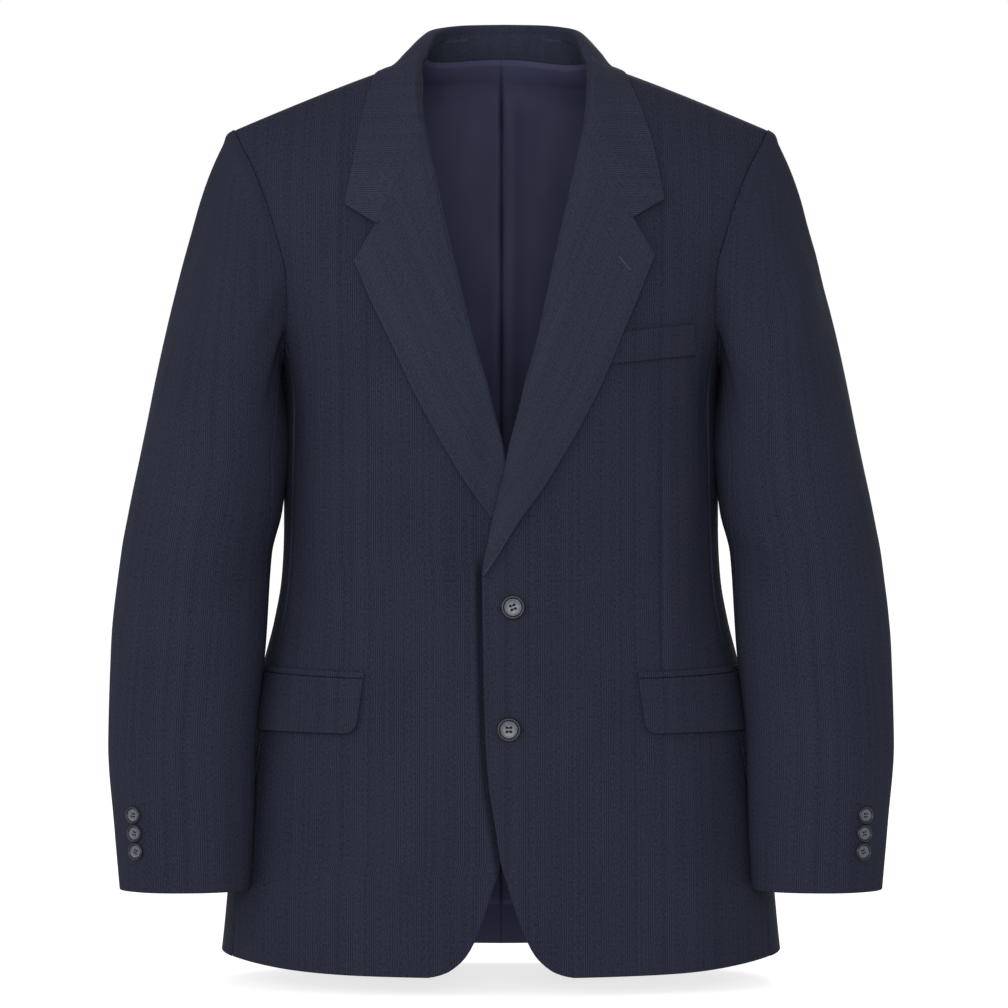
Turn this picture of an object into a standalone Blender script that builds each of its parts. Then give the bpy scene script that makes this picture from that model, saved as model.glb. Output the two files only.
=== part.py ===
"""A single-breasted two-button suit jacket, filled out as if worn, with nothing inside it.

Frame: metres, +Z up.  The origin is level with the points where the shoulder seams meet the neck,
midway across and on the shoulder seams' plane, where the wearer's shoulders hold the jacket.
The front faces -Y, and +X is the wearer's left.

Every cloth piece is a thin closed wall.  The outer faces of fronts, sides and backs are one surface,
`body`, worked out from a table of level sections; the pieces are cut out of it along the seam lines,
0.3 mm apart, and what lies on them (lapels, flaps, welts, buttons) is that surface moved out.
Left-hand pieces are modelled as they are (hand +1) and right-hand ones mirrored (hand -1).
"""
import math

import bmesh
import bpy
import numpy as np
from mathutils import Matrix, Vector
from mathutils.bvhtree import BVHTree

# ---------------------------------------------------------------- driving sizes, in metres
SEAM = 0.0003            # gap between pieces that are sewn together
CLOTH = 0.0020           # wall of fronts, sides and backs: cloth with its canvas
SLEEVE_CLOTH = 0.0018
LINING = 0.0010
LAPEL_CLOTH = 0.0024     # two layers, turned at the edge
COLLAR_CLOTH = 0.0024
STAND_CLOTH = 0.0014
FLAP_CLOTH = 0.0020
WELT_CLOTH = 0.0012
EASE = 0.0012            # what lies on a panel clears its curve by this much, its facets by less

SHOULDER_ROUND = 0.35    # how softly the shoulder slope turns level over the spine
NAPE_LIFT, NAPE_HALF = 0.006, 0.076
SCOOP = 0.0085           # how far the back's neckline dips below the shoulder seam's level
BUTTON_LEAN = 0.0045     # the buttoned front draws the neckline this far to the wearer's left
BREAK = -0.4373          # height where the lapels start to turn
UNDERARM = -0.262        # lowest point of the armhole
DART_X, DART_TOP, DART_END, DART_DEPTH = 0.132, -0.33, -0.51, 0.0008
SIDE_FRONT, SIDE_BACK = 0.78, 1.25   # girths of the two seams of the side panel
SLEEVE_EASE, HIP_EASE = 0.0015, 0.0040   # the sleeve clears the side by this much, above and beside the flap
FRONT_SEAM_TURN, BACK_SEAM_TURN = math.radians(-145), math.radians(100)   # the sleeve's two seams
CUFF_BUTTON_TURN = math.radians(-50)
HALF_GAP_GIRTH = 0.0006  # half a seam's gap, as a girth
SHOULDER_GAP = 0.6 * SEAM   # how far fronts and backs keep from the shoulder seam's plane

FRONT_BUTTON, CUFF_BUTTON = 0.020, 0.015
FRONT_BUTTONS = ((0.0101, -0.4637), (0.0067, -0.5663))
CUFF_BUTTON_HEIGHTS = (-0.6419, -0.6572, -0.6725)


def table(columns, *rows):
    """A short table with named columns, as one array for each column."""
    return dict(zip(columns.split(), np.array(rows, float).T))


# Level sections of the outer face, hem to shoulder: height at the side, half width, depth in front of
# and behind the shoulder plane, how much higher the middle of the section is than its side, and the
# exponent of the superellipse, which is 2 for an ellipse and more for a squarer curve.
BODY = table(
    "side half_width front back rise square",
    (-0.7630, 0.2430, 0.1180, 0.1120, -0.0110, 2.40),
    (-0.7120, 0.2385, 0.1165, 0.1120, -0.0060, 2.40),
    (-0.6000, 0.2200, 0.1130, 0.1090, 0.0000, 2.40),
    (-0.5200, 0.2070, 0.1110, 0.1000, 0.0000, 2.40),
    (-0.4780, 0.1966, 0.1100, 0.0940, 0.0000, 2.40),
    (-0.4430, 0.1914, 0.1095, 0.0900, 0.0000, 2.40),
    (-0.4000, 0.1896, 0.1105, 0.0890, 0.0000, 2.40),
    (-0.3400, 0.1880, 0.1155, 0.0950, 0.0000, 2.40),
    (-0.2900, 0.1870, 0.1210, 0.1040, 0.0000, 2.40),
    (-0.2620, 0.1890, 0.1215, 0.1075, 0.0020, 2.40),
    (-0.2235, 0.2015, 0.1150, 0.1100, 0.0080, 2.42),
    (-0.1860, 0.2115, 0.1040, 0.1110, 0.0180, 2.48),
    (-0.1400, 0.2215, 0.0870, 0.1090, 0.0360, 2.60),
    (-0.1020, 0.2290, 0.0660, 0.1030, 0.0520, 2.76),
    (-0.0770, 0.2325, 0.0450, 0.0920, 0.0630, 2.90),
    (-0.0620, 0.2340, 0.0270, 0.0710, 0.0710, 3.00),
    (-0.0545, 0.2345, 0.0140, 0.0420, 0.0742, 3.05),
    (-0.0520, 0.2345, 0.0000, 0.0000, 0.0750, 3.05))
RIDGE = -0.0520          # the shoulder seam's height at the shoulder point

# Inner edge of a front, from the hem's round corner up the front edge, the roll line of the lapel and
# the neckline: how far it lies from the button line (negative where it passes under or over it).
FRONT_LINE = table(
    "height out",
    (-0.7745, 0.0800), (-0.7720, 0.0561), (-0.7680, 0.0436), (-0.7535, 0.0276), (-0.7310, 0.0167),
    (-0.7029, 0.0075), (-0.6790, 0.0000), (-0.6480, -0.0054), (-0.6080, -0.0122), (-0.5646, -0.0159),
    (-0.5177, -0.0183), (BREAK, -0.0204), (-0.4063, -0.0154), (-0.3762, -0.0088), (-0.3535, -0.0030),
    (-0.3259, 0.0025), (-0.2975, 0.0101), (-0.2731, 0.0159), (-0.2460, 0.0235), (-0.1600, 0.0422),
    (-0.0950, 0.0562), (-0.0600, 0.0640), (-0.0420, 0.0690), (-0.0200, 0.0735), (0.0090, 0.0760))

# The armhole seam: distance from the middle at each height, on the front and on the back.
ARMHOLE = table(
    "height front back",
    (-0.2350, 0.1877, 0.1849),
    (-0.2235, 0.1843, 0.1852),
    (-0.1860, 0.1845, 0.1880),
    (-0.1400, 0.1945, 0.1970),
    (-0.0950, 0.2105, 0.2130),
    (-0.0593, 0.2285, 0.2290),
    (-0.0505, 0.2325, 0.2325))
ARMHOLE_FOOT = -0.2350   # where the side panel's seams meet the armhole

# Level sections of a sleeve below the armpit: its outer and inner edge, how far its middle lies
# behind the shoulder plane (negative is forward), half its depth, and its turn about its own axis.
SLEEVE = table(
    "height outer inner middle half_depth turn",
    (-0.7045, 0.3243, 0.2134, -0.0720, 0.0370, -80),
    (-0.6500, 0.3298, 0.2108, -0.0660, 0.0410, -66),
    (-0.5800, 0.3362, 0.2095, -0.0570, 0.0470, -50),
    (-0.5000, 0.3350, 0.2020, -0.0450, 0.0540, -33),
    (-0.4200, 0.3274, 0.1972, -0.0370, 0.0620, -16),
    (-0.3840, 0.3215, 0.1850, -0.0370, 0.0660, -9),
    (-0.3350, 0.3135, 0.1830, -0.0300, 0.0700, 0))
SLEEVE_TOP = -0.3350

# The lapel, break point to gorge: height on the roll line, and the outer edge opposite it.
LAPEL = table(
    "roll edge_out edge_height bulge",
    (-0.4330, -0.0168, -0.4318, 0.0000),
    (-0.4180, -0.0040, -0.4160, 0.0006),
    (-0.3950, 0.0120, -0.3900, 0.0016),
    (-0.3680, 0.0320, -0.3620, 0.0024),
    (-0.3380, 0.0540, -0.3250, 0.0030),
    (-0.3020, 0.0760, -0.2835, 0.0034),
    (-0.2620, 0.0952, -0.2395, 0.0034),
    (-0.2180, 0.1110, -0.2040, 0.0030),
    (-0.1600, 0.1260, -0.1675, 0.0026),
    (-0.1050, 0.1170, -0.1525, 0.0020),
    (-0.0616, 0.1074, -0.1372, 0.0014))
LAPEL_ACROSS = table("share lift", (0, 0), (0.06, 0.6), (0.2, 1), (0.45, 1), (0.75, 0.6), (1, 0.1))
LEAF_EASE = 0.0016       # height of the collar leaf's underside above the shoulders
FOLD_EASE = 0.0024       # and how much higher it is along the fold, where the stand's foot lies under it
STAND_EASE = 0.0018      # height of the stand's foot above the neckline's curve
STAND_DROP = 0.0022      # how far the stand's top stays below the leaf's fold
LAPEL_EASE = 0.0014      # height of its underside above the front along the roll line
LAPEL_LIFT = 0.0025      # and how much higher it lies elsewhere, besides the bulge

# Stations of the collar from the centre back round to the lapel: the fold along its top, the neckline
# it is sewn to and its free lower edge.  All are measured from the middle of the neck.
COLLAR = table(
    "fold_x fold_y fold_z edge_x edge_y edge_z bulge",
    (0.0000, 0.0660, 0.0500, 0.0000, 0.0920, 0.0040, 0.0060),
    (0.0300, 0.0620, 0.0490, 0.0420, 0.0840, 0.0020, 0.0060),
    (0.0500, 0.0460, 0.0450, 0.0740, 0.0620, 0.0000, 0.0060),
    (0.0600, 0.0240, 0.0390, 0.0940, 0.0340, 0.0000, 0.0060),
    (0.0655, 0.0020, 0.0260, 0.1040, 0.0060, -0.0020, 0.0060),
    (0.0695, -0.0200, 0.0040, 0.1130, -0.0180, -0.0150, 0.0060),
    (0.0690, -0.0400, -0.0220, 0.1190, -0.0420, -0.0420, 0.0055),
    (0.0665, -0.0550, -0.0440, 0.1285, -0.0620, -0.0880, 0.0050),
    (0.0650, -0.0610, -0.0540, 0.1338, -0.0720, -0.1200, 0.0040),
    (0.0640, -0.0655, -0.0592, 0.1078, -0.0850, -0.1358, 0.0030))

FLAP = dict(inner_x=0.1155, inner_x_low=0.1213, top=-0.5245, top_side=-0.5200, low=-0.5705,
            end_girth=1.04, corner=0.007)
JETTING_HEIGHT = 0.0050
WELT = dict(inner_x=0.066, outer_x=0.1642, top_outer=-0.2242, height=0.0265, slope=-0.127)

NAVY = (0.020, 0.025, 0.040, 1.0)
NAVY_TURNED = (0.024, 0.032, 0.045, 1.0)
LINING_COLOUR = (0.022, 0.021, 0.045, 1.0)
BUTTON_COLOUR = (0.06, 0.07, 0.11, 1.0)

# Heights of the grid rows, at the side line, and the row where the armhole starts.
ROWS = np.array([-0.7630, -0.7605, -0.7520, -0.7400, -0.7230, -0.7000, -0.6750, -0.6450, -0.6050,
                 -0.5650, -0.5200, -0.4750, -0.4350, -0.3950, -0.3550, -0.3150, -0.2750,
                 ARMHOLE_FOOT, -0.2050, -0.1750, -0.1450, -0.1150, -0.0900, -0.0720, -0.0620,
                 -0.0555, -0.0528, RIDGE])
FOOT_ROW = 17
LINING_FIRST_ROW = 2     # the lining stops this many rows short of the hem


# ---------------------------------------------------------------- curves and surfaces
def flow(at, knots, values):
    """A smooth curve through the knots that doesn't overshoot them: cubic pieces whose slope at a
    knot is the harmonic mean of its neighbours' slopes, and level where they differ in sign."""
    order = np.argsort(knots)
    x, y = np.asarray(knots)[order], np.asarray(values)[order]
    step = np.diff(x)
    rate = np.diff(y) / step
    before, after = rate[:-1], rate[1:]
    total = np.where(before * after > 0, before + after, 1.0)
    inner = np.where(before * after > 0, 2 * before * after / total, 0.0)
    slope = np.concatenate([rate[:1], inner, rate[-1:]])
    at = np.asarray(at, float)
    k = np.clip(np.searchsorted(x, at) - 1, 0, len(step) - 1)
    t = np.clip((at - x[k]) / step[k], 0, 1)
    return (y[k] * (1 + 2 * t) * (1 - t) ** 2 + y[k + 1] * t * t * (3 - 2 * t)
            + step[k] * (slope[k] * t * (1 - t) ** 2 - slope[k + 1] * t * t * (1 - t)))


def smooth(t):
    """0 below 0, 1 above 1, and an even ramp between."""
    t = np.clip(t, 0, 1)
    return t * t * (3 - 2 * t)


def section(column, side):
    return flow(side, BODY["side"], BODY[column])


def shoulder_share(x, half_width):
    """How much of a section's rise a point has: 1 in the middle, 0 at the side, nearly straight
    along the shoulder."""
    share = np.abs(x) / half_width
    top = math.sqrt(1 + SHOULDER_ROUND ** 2) - SHOULDER_ROUND
    return 1 - (np.sqrt(share ** 2 + SHOULDER_ROUND ** 2) - SHOULDER_ROUND) / top


def bare_body(girth, side):
    """The outer face of the left half.  girth is 0 at the centre front, 1 at the side and 2 at the
    centre back; side is the height that the point's level section has at the side."""
    turn = girth * math.pi / 2
    s, c = np.sin(turn), np.cos(turn)
    half_width, square = section("half_width", side), section("square", side)
    x = half_width * np.sign(s) * np.abs(s) ** (2 / square)
    depth = np.where(c > 0, -section("front", side), section("back", side))
    y = depth * np.abs(c) ** (2 / square)
    z = side + section("rise", side) * shoulder_share(x, half_width)
    nape = np.clip(1 - (x / NAPE_HALF) ** 2, 0, 1) ** 2 * smooth((side + 0.11) / 0.05)
    return np.stack(np.broadcast_arrays(x, y, z + NAPE_LIFT * nape * (c < 0)), -1)


def unit(v):
    return v / np.maximum(np.linalg.norm(v, axis=-1, keepdims=True), 1e-12)


def body(girth, side, out=0.0):
    """A point `out` metres outside the outer face, along the face's normal."""
    girth, side, out = np.broadcast_arrays(*(np.asarray(a, float) for a in (girth, side, out)))
    small_turn, small_rise = 2e-3, 2e-4
    across = bare_body(girth + small_turn, side) - bare_body(girth - small_turn, side)
    up = bare_body(girth, side + small_rise) - bare_body(girth, side - small_rise)
    return bare_body(girth, side) + unit(np.cross(across, up)) * out[..., None]


def girth_at(x, side):
    """The girth of the point on the front half that lies x from the middle."""
    share = np.clip(np.abs(x) / section("half_width", side), 0, 1)
    return np.sign(x) * np.arcsin(share ** (section("square", side) / 2)) * 2 / math.pi


def side_at(x, z):
    """The side height of the level section that has height z at x, by halving."""
    low, high = np.full(np.shape(z), -0.80), np.full(np.shape(z), RIDGE)
    for _ in range(30):
        middle = (low + high) / 2
        height = middle + section("rise", middle) * shoulder_share(x, section("half_width", middle))
        low, high = np.where(height < z, middle, low), np.where(height < z, high, middle)
    return (low + high) / 2


def button_line(z):
    """Where the line through the buttons lies: it leans from the middle at the hem to the left."""
    return BUTTON_LEAN * smooth((z + 0.70) / 0.26)


def front_edge(z, hand):
    return hand * button_line(z) + flow(z, FRONT_LINE["height"], FRONT_LINE["out"])


def seam_x(side, line):
    """Where a seam line, given as a distance from the middle by height, crosses a level section."""
    half_width, rise = section("half_width", side), section("rise", side)
    x = np.full(np.shape(side), 0.1)
    for _ in range(25):
        x = line(side + rise * shoulder_share(x, half_width))
    return x


def front_layer(x, z, hand):
    """How far a front is moved out near the middle, where the left one laps over the right."""
    other_edge = hand * button_line(z) - flow(z, FRONT_LINE["height"], FRONT_LINE["out"])
    if hand > 0:
        return 0.0013 * smooth((other_edge + 0.035 - x) / 0.030)
    depth = 0.0014 + 0.0042 * smooth((z + 0.50) / 0.05)
    return -depth * smooth((other_edge + 0.045 - x) / 0.040)


def mirror(points, hand):
    return points * np.array([hand, 1, 1])


# ---------------------------------------------------------------- solids
def material(name, colour, roughness):
    made = bpy.data.materials.new(name)
    made.use_nodes = True
    shader = made.node_tree.nodes["Principled BSDF"]
    shader.inputs["Base Color"].default_value = colour
    shader.inputs["Roughness"].default_value = roughness
    return made


def add_object(name, vertices, faces, look):
    mesh = bpy.data.meshes.new(name)
    mesh.from_pydata([tuple(p) for p in vertices], [], faces)
    shape = bmesh.new()
    shape.from_mesh(mesh)
    if shape.calc_volume(signed=True) < 0:
        bmesh.ops.reverse_faces(shape, faces=shape.faces[:])
    shape.to_mesh(mesh)
    shape.free()
    mesh.materials.append(look)
    piece = bpy.data.objects.new(name, mesh)
    bpy.context.scene.collection.objects.link(piece)
    return piece


def wall(name, outer, inner, look):
    """A closed wall between two grids of points with the same rows and columns."""
    rows, columns = outer.shape[:2]
    at = np.arange(rows * columns).reshape(rows, columns)
    a, b, c, d = at[:-1, :-1], at[:-1, 1:], at[1:, 1:], at[1:, :-1]
    shell = np.concatenate([np.stack([a, b, c], -1).reshape(-1, 3), np.stack([a, c, d], -1).reshape(-1, 3)])
    rim = np.concatenate([at[0, :-1], at[:-1, -1], at[-1, :0:-1], at[:0:-1, 0]])
    after = np.roll(rim, -1)
    count = rows * columns
    edge = np.concatenate([np.stack([after, rim, rim + count], -1),
                           np.stack([after, rim + count, after + count], -1)])
    faces = np.concatenate([shell, shell[:, ::-1] + count, edge])
    points = np.concatenate([outer.reshape(-1, 3), inner.reshape(-1, 3)])
    return add_object(name, points, faces.tolist(), look)


def turned_button(name, diameter, centre, normal, look):
    """A button turned from a blank: a raised round rim about a dished middle."""
    radius = diameter / 2
    profile = [(0.0, 0.16), (0.62, 0.16), (0.78, 0.30), (0.93, 0.26), (1.0, 0.12), (0.86, 0.0), (0.0, 0.0)]
    shape = bmesh.new()
    steps = 16 if diameter > 0.018 else 12
    rings = []
    for share, height in profile[1:-1]:
        ring = [shape.verts.new((radius * share * math.cos(2 * math.pi * k / steps),
                                 radius * share * math.sin(2 * math.pi * k / steps),
                                 radius * height)) for k in range(steps)]
        rings.append(ring)
    for lower, upper in zip(rings[:-1], rings[1:]):
        for k in range(steps):
            shape.faces.new((lower[k - 1], lower[k], upper[k], upper[k - 1]))
    shape.faces.new(rings[0])
    shape.faces.new(rings[-1][::-1])
    bmesh.ops.recalc_face_normals(shape, faces=shape.faces[:])
    mesh = bpy.data.meshes.new(name)
    bmesh.ops.triangulate(shape, faces=shape.faces[:])
    shape.to_mesh(mesh)
    shape.free()
    mesh.materials.append(look)
    piece = bpy.data.objects.new(name, mesh)
    turn = Vector(normal).to_track_quat("Z", "Y").to_matrix().to_4x4()
    piece.matrix_world = Matrix.Translation(Vector(centre)) @ turn
    bpy.context.scene.collection.objects.link(piece)
    return piece


def seat_of(piece, centre, normal, radius):
    """The point above `centre` where a flat disc first meets a piece's facets, plus the seam gap."""
    mesh = piece.data
    tree = BVHTree.FromPolygons([v.co for v in mesh.vertices], [tuple(p.vertices) for p in mesh.polygons])
    normal = Vector(normal).normalized()
    sideways = normal.orthogonal().normalized()
    reach = 0.02
    highest = -1.0
    for share in (0.0, 0.45, 0.9):
        for k in range(12):
            arm = Matrix.Rotation(2 * math.pi * k / 12, 3, normal) @ sideways * radius * share
            hit = tree.ray_cast(Vector(centre) + arm + normal * reach, -normal)
            if hit[0] is not None:
                highest = max(highest, reach - hit[3])
    return Vector(centre) + normal * (highest + SEAM)


# ---------------------------------------------------------------- body panels
def row_columns(inner_x, dart_x, outer_girth, side):
    """Girths of a front's columns in each row: even in x to the dart, then even in girth."""
    dart_width = 0.004
    shares = np.array([0.0, 0.10, 0.34, 0.62, 1.0])
    inner = inner_x[:, None] + (dart_x - dart_width - inner_x)[:, None] * shares
    dart = np.stack([dart_x, dart_x + dart_width], -1)
    girths = girth_at(np.concatenate([inner, dart], -1), side[:, None])
    last = girths[:, -1:]
    outer = last + (outer_girth[:, None] - last) * np.array([0.27, 0.52, 0.76, 1.0])
    return np.concatenate([girths, outer], -1)


def front_panel(hand):
    """Outer and inner face of a front, from its edge and roll line to the side seam and armhole."""
    inner_x = seam_x(ROWS, lambda z: front_edge(z, hand))
    armhole_x = seam_x(ROWS, lambda z: flow(z, ARMHOLE["height"], ARMHOLE["front"]))
    outer = np.where(ROWS < ARMHOLE_FOOT - 1e-6, SIDE_FRONT - HALF_GAP_GIRTH, girth_at(armhole_x, ROWS))
    outer[FOOT_ROW] = SIDE_FRONT - HALF_GAP_GIRTH
    dart_x = np.full(ROWS.shape, DART_X) + hand * BUTTON_LEAN
    girth = row_columns(inner_x, dart_x, outer, ROWS)
    side = np.broadcast_to(ROWS[:, None], girth.shape)
    flat = bare_body(girth, side)
    layer = front_layer(flat[..., 0], flat[..., 2], hand)
    tuck = np.zeros(girth.shape)
    z = flat[:, 5, 2]
    tuck[:, 5] = -DART_DEPTH * smooth((DART_TOP - z) / 0.02) * smooth((z - DART_END) / 0.02 + 1)
    faces = [body(girth, side, layer + tuck), body(girth, side, layer + tuck - CLOTH)]
    for face in faces:
        face[..., 1] = np.minimum(face[..., 1], -SHOULDER_GAP)
    return faces


def side_panel():
    """Outer and inner face of the panel under the arm, whose top is the bottom of the armhole."""
    girth = np.linspace(SIDE_FRONT + HALF_GAP_GIRTH, SIDE_BACK - HALF_GAP_GIRTH, 7)
    share = (girth - girth[0]) / (girth[-1] - girth[0])
    dip = (UNDERARM - ARMHOLE_FOOT) * np.sin(math.pi * share) ** 0.8
    rows = ROWS[:FOOT_ROW + 1]
    near_top = smooth((rows + 0.36) / (ARMHOLE_FOOT + 0.36))
    side = rows[:, None] + near_top[:, None] * dip
    girth = np.broadcast_to(girth, side.shape)
    return [body(girth, side), body(girth, side, -CLOTH)]


def back_grid(hand):
    """Girths and side heights of a back's grid, from the side seam and armhole to the centre."""
    armhole_x = seam_x(ROWS, lambda z: flow(z, ARMHOLE["height"], ARMHOLE["back"]))
    outer = np.where(ROWS < ARMHOLE_FOOT - 1e-6, SIDE_BACK + HALF_GAP_GIRTH, 2 - girth_at(armhole_x, ROWS))
    outer[FOOT_ROW] = SIDE_BACK + HALF_GAP_GIRTH
    neck_x = np.full(ROWS.shape, NAPE_HALF + hand * BUTTON_LEAN)
    neck = 2 - girth_at(neck_x, ROWS)
    to_neck = outer[:, None] + (neck - outer)[:, None] * np.linspace(0, 1, 5)
    middle_x = neck_x[:, None] * np.array([0.86, 0.55, 0.27])
    middle = 2 - girth_at(middle_x, ROWS[:, None])
    centre = np.full((len(ROWS), 1), 2 - HALF_GAP_GIRTH / 3)
    girth = np.concatenate([to_neck, middle, centre], -1)
    x = bare_body(girth, ROWS[:, None])[..., 0]
    scoop = SCOOP * np.clip(1 - (x / neck_x[:, None]) ** 2, 0, 1)
    side = ROWS[:, None] - scoop * smooth((ROWS + 0.15) / 0.095)[:, None]
    return girth, side


def back_faces(hand, near, far):
    """The back's surface moved out by near and far, and off the shoulder seam."""
    girth, side = back_grid(hand)
    faces = [body(girth, side, near), body(girth, side, far)]
    for face in faces:
        face[..., 1] = np.maximum(face[..., 1], SHOULDER_GAP)
    return faces


# ---------------------------------------------------------------- sleeves
def off_the_body(points, ease):
    """Moves points of the left sleeve out to `ease` from the side of the body, below the armhole."""
    x, y, z = np.moveaxis(points, -1, 0)
    depth = np.where(y < 0, section("front", z), section("back", z))
    square = section("square", z)
    share = np.clip(1 - (np.abs(y) / depth) ** square, 0, 1) ** (1 / square)
    nearest = section("half_width", z) * share + ease
    near_body = (z < ARMHOLE_FOOT - 0.004) & (nearest > x)
    return np.stack([np.where(near_body, nearest, x), y, z], -1)


def sleeve_oval(turn, height):
    """A point of the left sleeve's outside: turn 0 is its outer edge, -90 degrees its front."""
    outer, inner, middle, half_depth = (flow(height, SLEEVE["height"], SLEEVE[name])
                                        for name in ("outer", "inner", "middle", "half_depth"))
    x = (outer + inner) / 2 + (outer - inner) / 2 * np.cos(turn)
    y = middle + half_depth * np.sin(turn)
    points = np.stack(np.broadcast_arrays(x, y, height), -1)
    below_waist = smooth((-0.43 - points[..., 2]) / 0.07)
    return off_the_body(points, SLEEVE_EASE + (HIP_EASE - SLEEVE_EASE) * below_waist)


def grid_normals(points):
    """Outward normals of a sleeve grid, whose rows are rings that close on themselves."""
    around = np.roll(points, -1, 1) - np.roll(points, 1, 1)
    down = np.gradient(points, axis=0)
    return unit(np.cross(around, down))


SLEEVE_ROWS = (-0.3700, -0.4050, -0.4400, -0.4800, -0.5250, -0.5700, -0.6150, -0.6600, -0.7045)
HEAD_RINGS = 7


def sleeve_faces(front, side, back):
    """Outer and inner face of a whole left sleeve.  Its rings start at the armhole's own points."""
    def loop_of(face):
        down_front = front[face][FOOT_ROW + 1:, -1][::-1]
        front_foot = (front[face][FOOT_ROW, -1] + side[face][-1, 0]) / 2
        back_foot = (back[face][FOOT_ROW, 0] + side[face][-1, -1]) / 2
        up_back = back[face][FOOT_ROW + 1:-1, 0]
        return np.concatenate([down_front, [front_foot], side[face][-1, 1:-1], [back_foot], up_back])

    rim, rim_inside = loop_of(0), loop_of(1)
    normal = unit(rim - rim_inside)
    along = unit(np.roll(rim, -1, 0) - np.roll(rim, 1, 0))
    away = unit(np.cross(normal, along))
    middle_y = (rim[:, 1].max() + rim[:, 1].min()) / 2
    half_y = (rim[:, 1].max() - rim[:, 1].min()) / 2
    middle_z = (rim[:, 2].max() + rim[:, 2].min()) / 2
    half_z = (rim[:, 2].max() - rim[:, 2].min()) / 2
    turn = np.arctan2((rim[:, 1] - middle_y) / half_y, (rim[:, 2] - middle_z) / half_z)
    turn[0] = 0.0
    under = smooth((np.abs(turn) - math.radians(80)) / math.radians(90)) * math.pi
    start = rim + 2 * SEAM * (np.cos(under / 2)[:, None] * away + np.sin(under / 2)[:, None] * normal)
    start_inside = start + SLEEVE_CLOTH * (np.sin(under)[:, None] * away - np.cos(under)[:, None] * normal)
    # each column leaves the armhole outwards, or downwards under the arm, and ends in the first oval
    lean = np.cos(turn / 2)
    leave = unit(np.stack([lean, 0.35 * np.sin(turn), np.full(turn.shape, -0.93)], -1))
    ring = sleeve_oval(turn, np.full(turn.shape, SLEEVE_TOP))
    lower = sleeve_oval(turn, np.full(turn.shape, SLEEVE_TOP - 0.01))
    drop = unit(ring - lower)
    reach = np.linalg.norm(ring - start, axis=-1)[:, None]
    first, second = start + leave * reach * 0.15, ring + drop * reach * 0.34
    t = (np.arange(HEAD_RINGS) / HEAD_RINGS)[:, None, None]
    head = ((1 - t) ** 3 * start + 3 * t * (1 - t) ** 2 * first
            + 3 * t * t * (1 - t) * second + t ** 3 * ring)
    ease = SEAM + (SLEEVE_EASE - SEAM) * smooth(t[..., 0] * 3)
    head = np.concatenate([head[:1], off_the_body(head[1:], ease[1:])])
    heights = np.array((SLEEVE_TOP,) + SLEEVE_ROWS)[:, None]
    twist = np.radians(flow(heights, SLEEVE["height"], SLEEVE["turn"]))
    outer = np.concatenate([head, sleeve_oval(turn[None] + twist, np.repeat(heights, len(turn), 1))])
    inner = outer - grid_normals(outer) * SLEEVE_CLOTH
    inner[0] = start_inside
    return outer, inner, turn


def sleeve_piece(faces, columns):
    """The columns of one piece of the sleeve, drawn back from its two seams by half the gap."""
    cut = []
    for face in faces:
        part = face[:, columns].copy()
        part[:, 0] += unit(part[:, 1] - part[:, 0]) * 1.3 * SEAM
        part[:, -1] += unit(part[:, -2] - part[:, -1]) * 1.3 * SEAM
        cut.append(part)
    return cut


# ---------------------------------------------------------------- what lies on the fronts
def on_front(x, z, out, hand):
    """A point over the front that shows x and z, moved out from the front's own layer."""
    side = side_at(x, z)
    return body(girth_at(x, side), side, front_layer(x, z, hand) + out)


def lapel_faces(hand):
    """The turned-back lapel: a grid from the roll line to the outer edge, break point to gorge."""
    roll_z = LAPEL["roll"][:, None]
    roll_x = front_edge(roll_z, hand) + SEAM
    edge_x = (hand * button_line(LAPEL["edge_height"]) + LAPEL["edge_out"])[:, None]
    edge_z = LAPEL["edge_height"][:, None]
    share = LAPEL_ACROSS["share"]
    x, z = roll_x + (edge_x - roll_x) * share, roll_z + (edge_z - roll_z) * share
    clear_of_welt = LAPEL_LIFT * smooth(share / 0.06)
    # near the break point the right lapel lies flat between the two fronts
    squeeze = smooth((x - hand * button_line(z)) / 0.05 + (0.6 if hand > 0 else -0.2))
    lift = LAPEL_EASE + squeeze * (clear_of_welt + LAPEL_ACROSS["lift"] * LAPEL["bulge"][:, None])
    return [on_front(x, z, lift + LAPEL_CLOTH, hand), on_front(x, z, lift, hand)]


def flap_faces(top_lift, first, last):
    """A strip round the front and side between two heights, from the flap's front edge backwards."""
    share = np.array([0.0, 0.05, 0.16, 0.28, 0.40, 0.52, 0.64, 0.76, 0.88, 1.0])
    down = np.array([0.0, 0.3, 0.62, 0.86, 1.0]) if last > first else np.array([0.0, 1.0])
    start_x = FLAP["inner_x"] + (FLAP["inner_x_low"] - FLAP["inner_x"]) * down
    corner = FLAP["corner"] * np.clip((down - 0.86) / 0.14, 0, 1) ** 2 * (last > first)
    top = FLAP["top"] + (FLAP["top_side"] - FLAP["top"]) * share
    height = top[None] + (FLAP["low"] - top[None]) * down[:, None]
    if last <= first:
        height = top[None] + SEAM + JETTING_HEIGHT * (1 - down[:, None])
        start_x = np.full(down.shape, FLAP["inner_x"])
        corner = corner * 0
    start = girth_at((start_x + corner)[:, None], height)
    girth = start + (FLAP["end_girth"] - start) * share
    return [body(girth, height, EASE + top_lift), body(girth, height, EASE)]


def breast_welt_faces():
    x = np.linspace(WELT["inner_x"], WELT["outer_x"], 9)
    top = WELT["top_outer"] + (WELT["outer_x"] - x) * WELT["slope"]
    z = top[None] - np.array([[0.0], [0.5], [1.0]]) * WELT["height"]
    x = np.broadcast_to(x, z.shape)
    return [on_front(x, z, EASE + WELT_CLOTH, 1), on_front(x, z, EASE, 1)]


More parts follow.
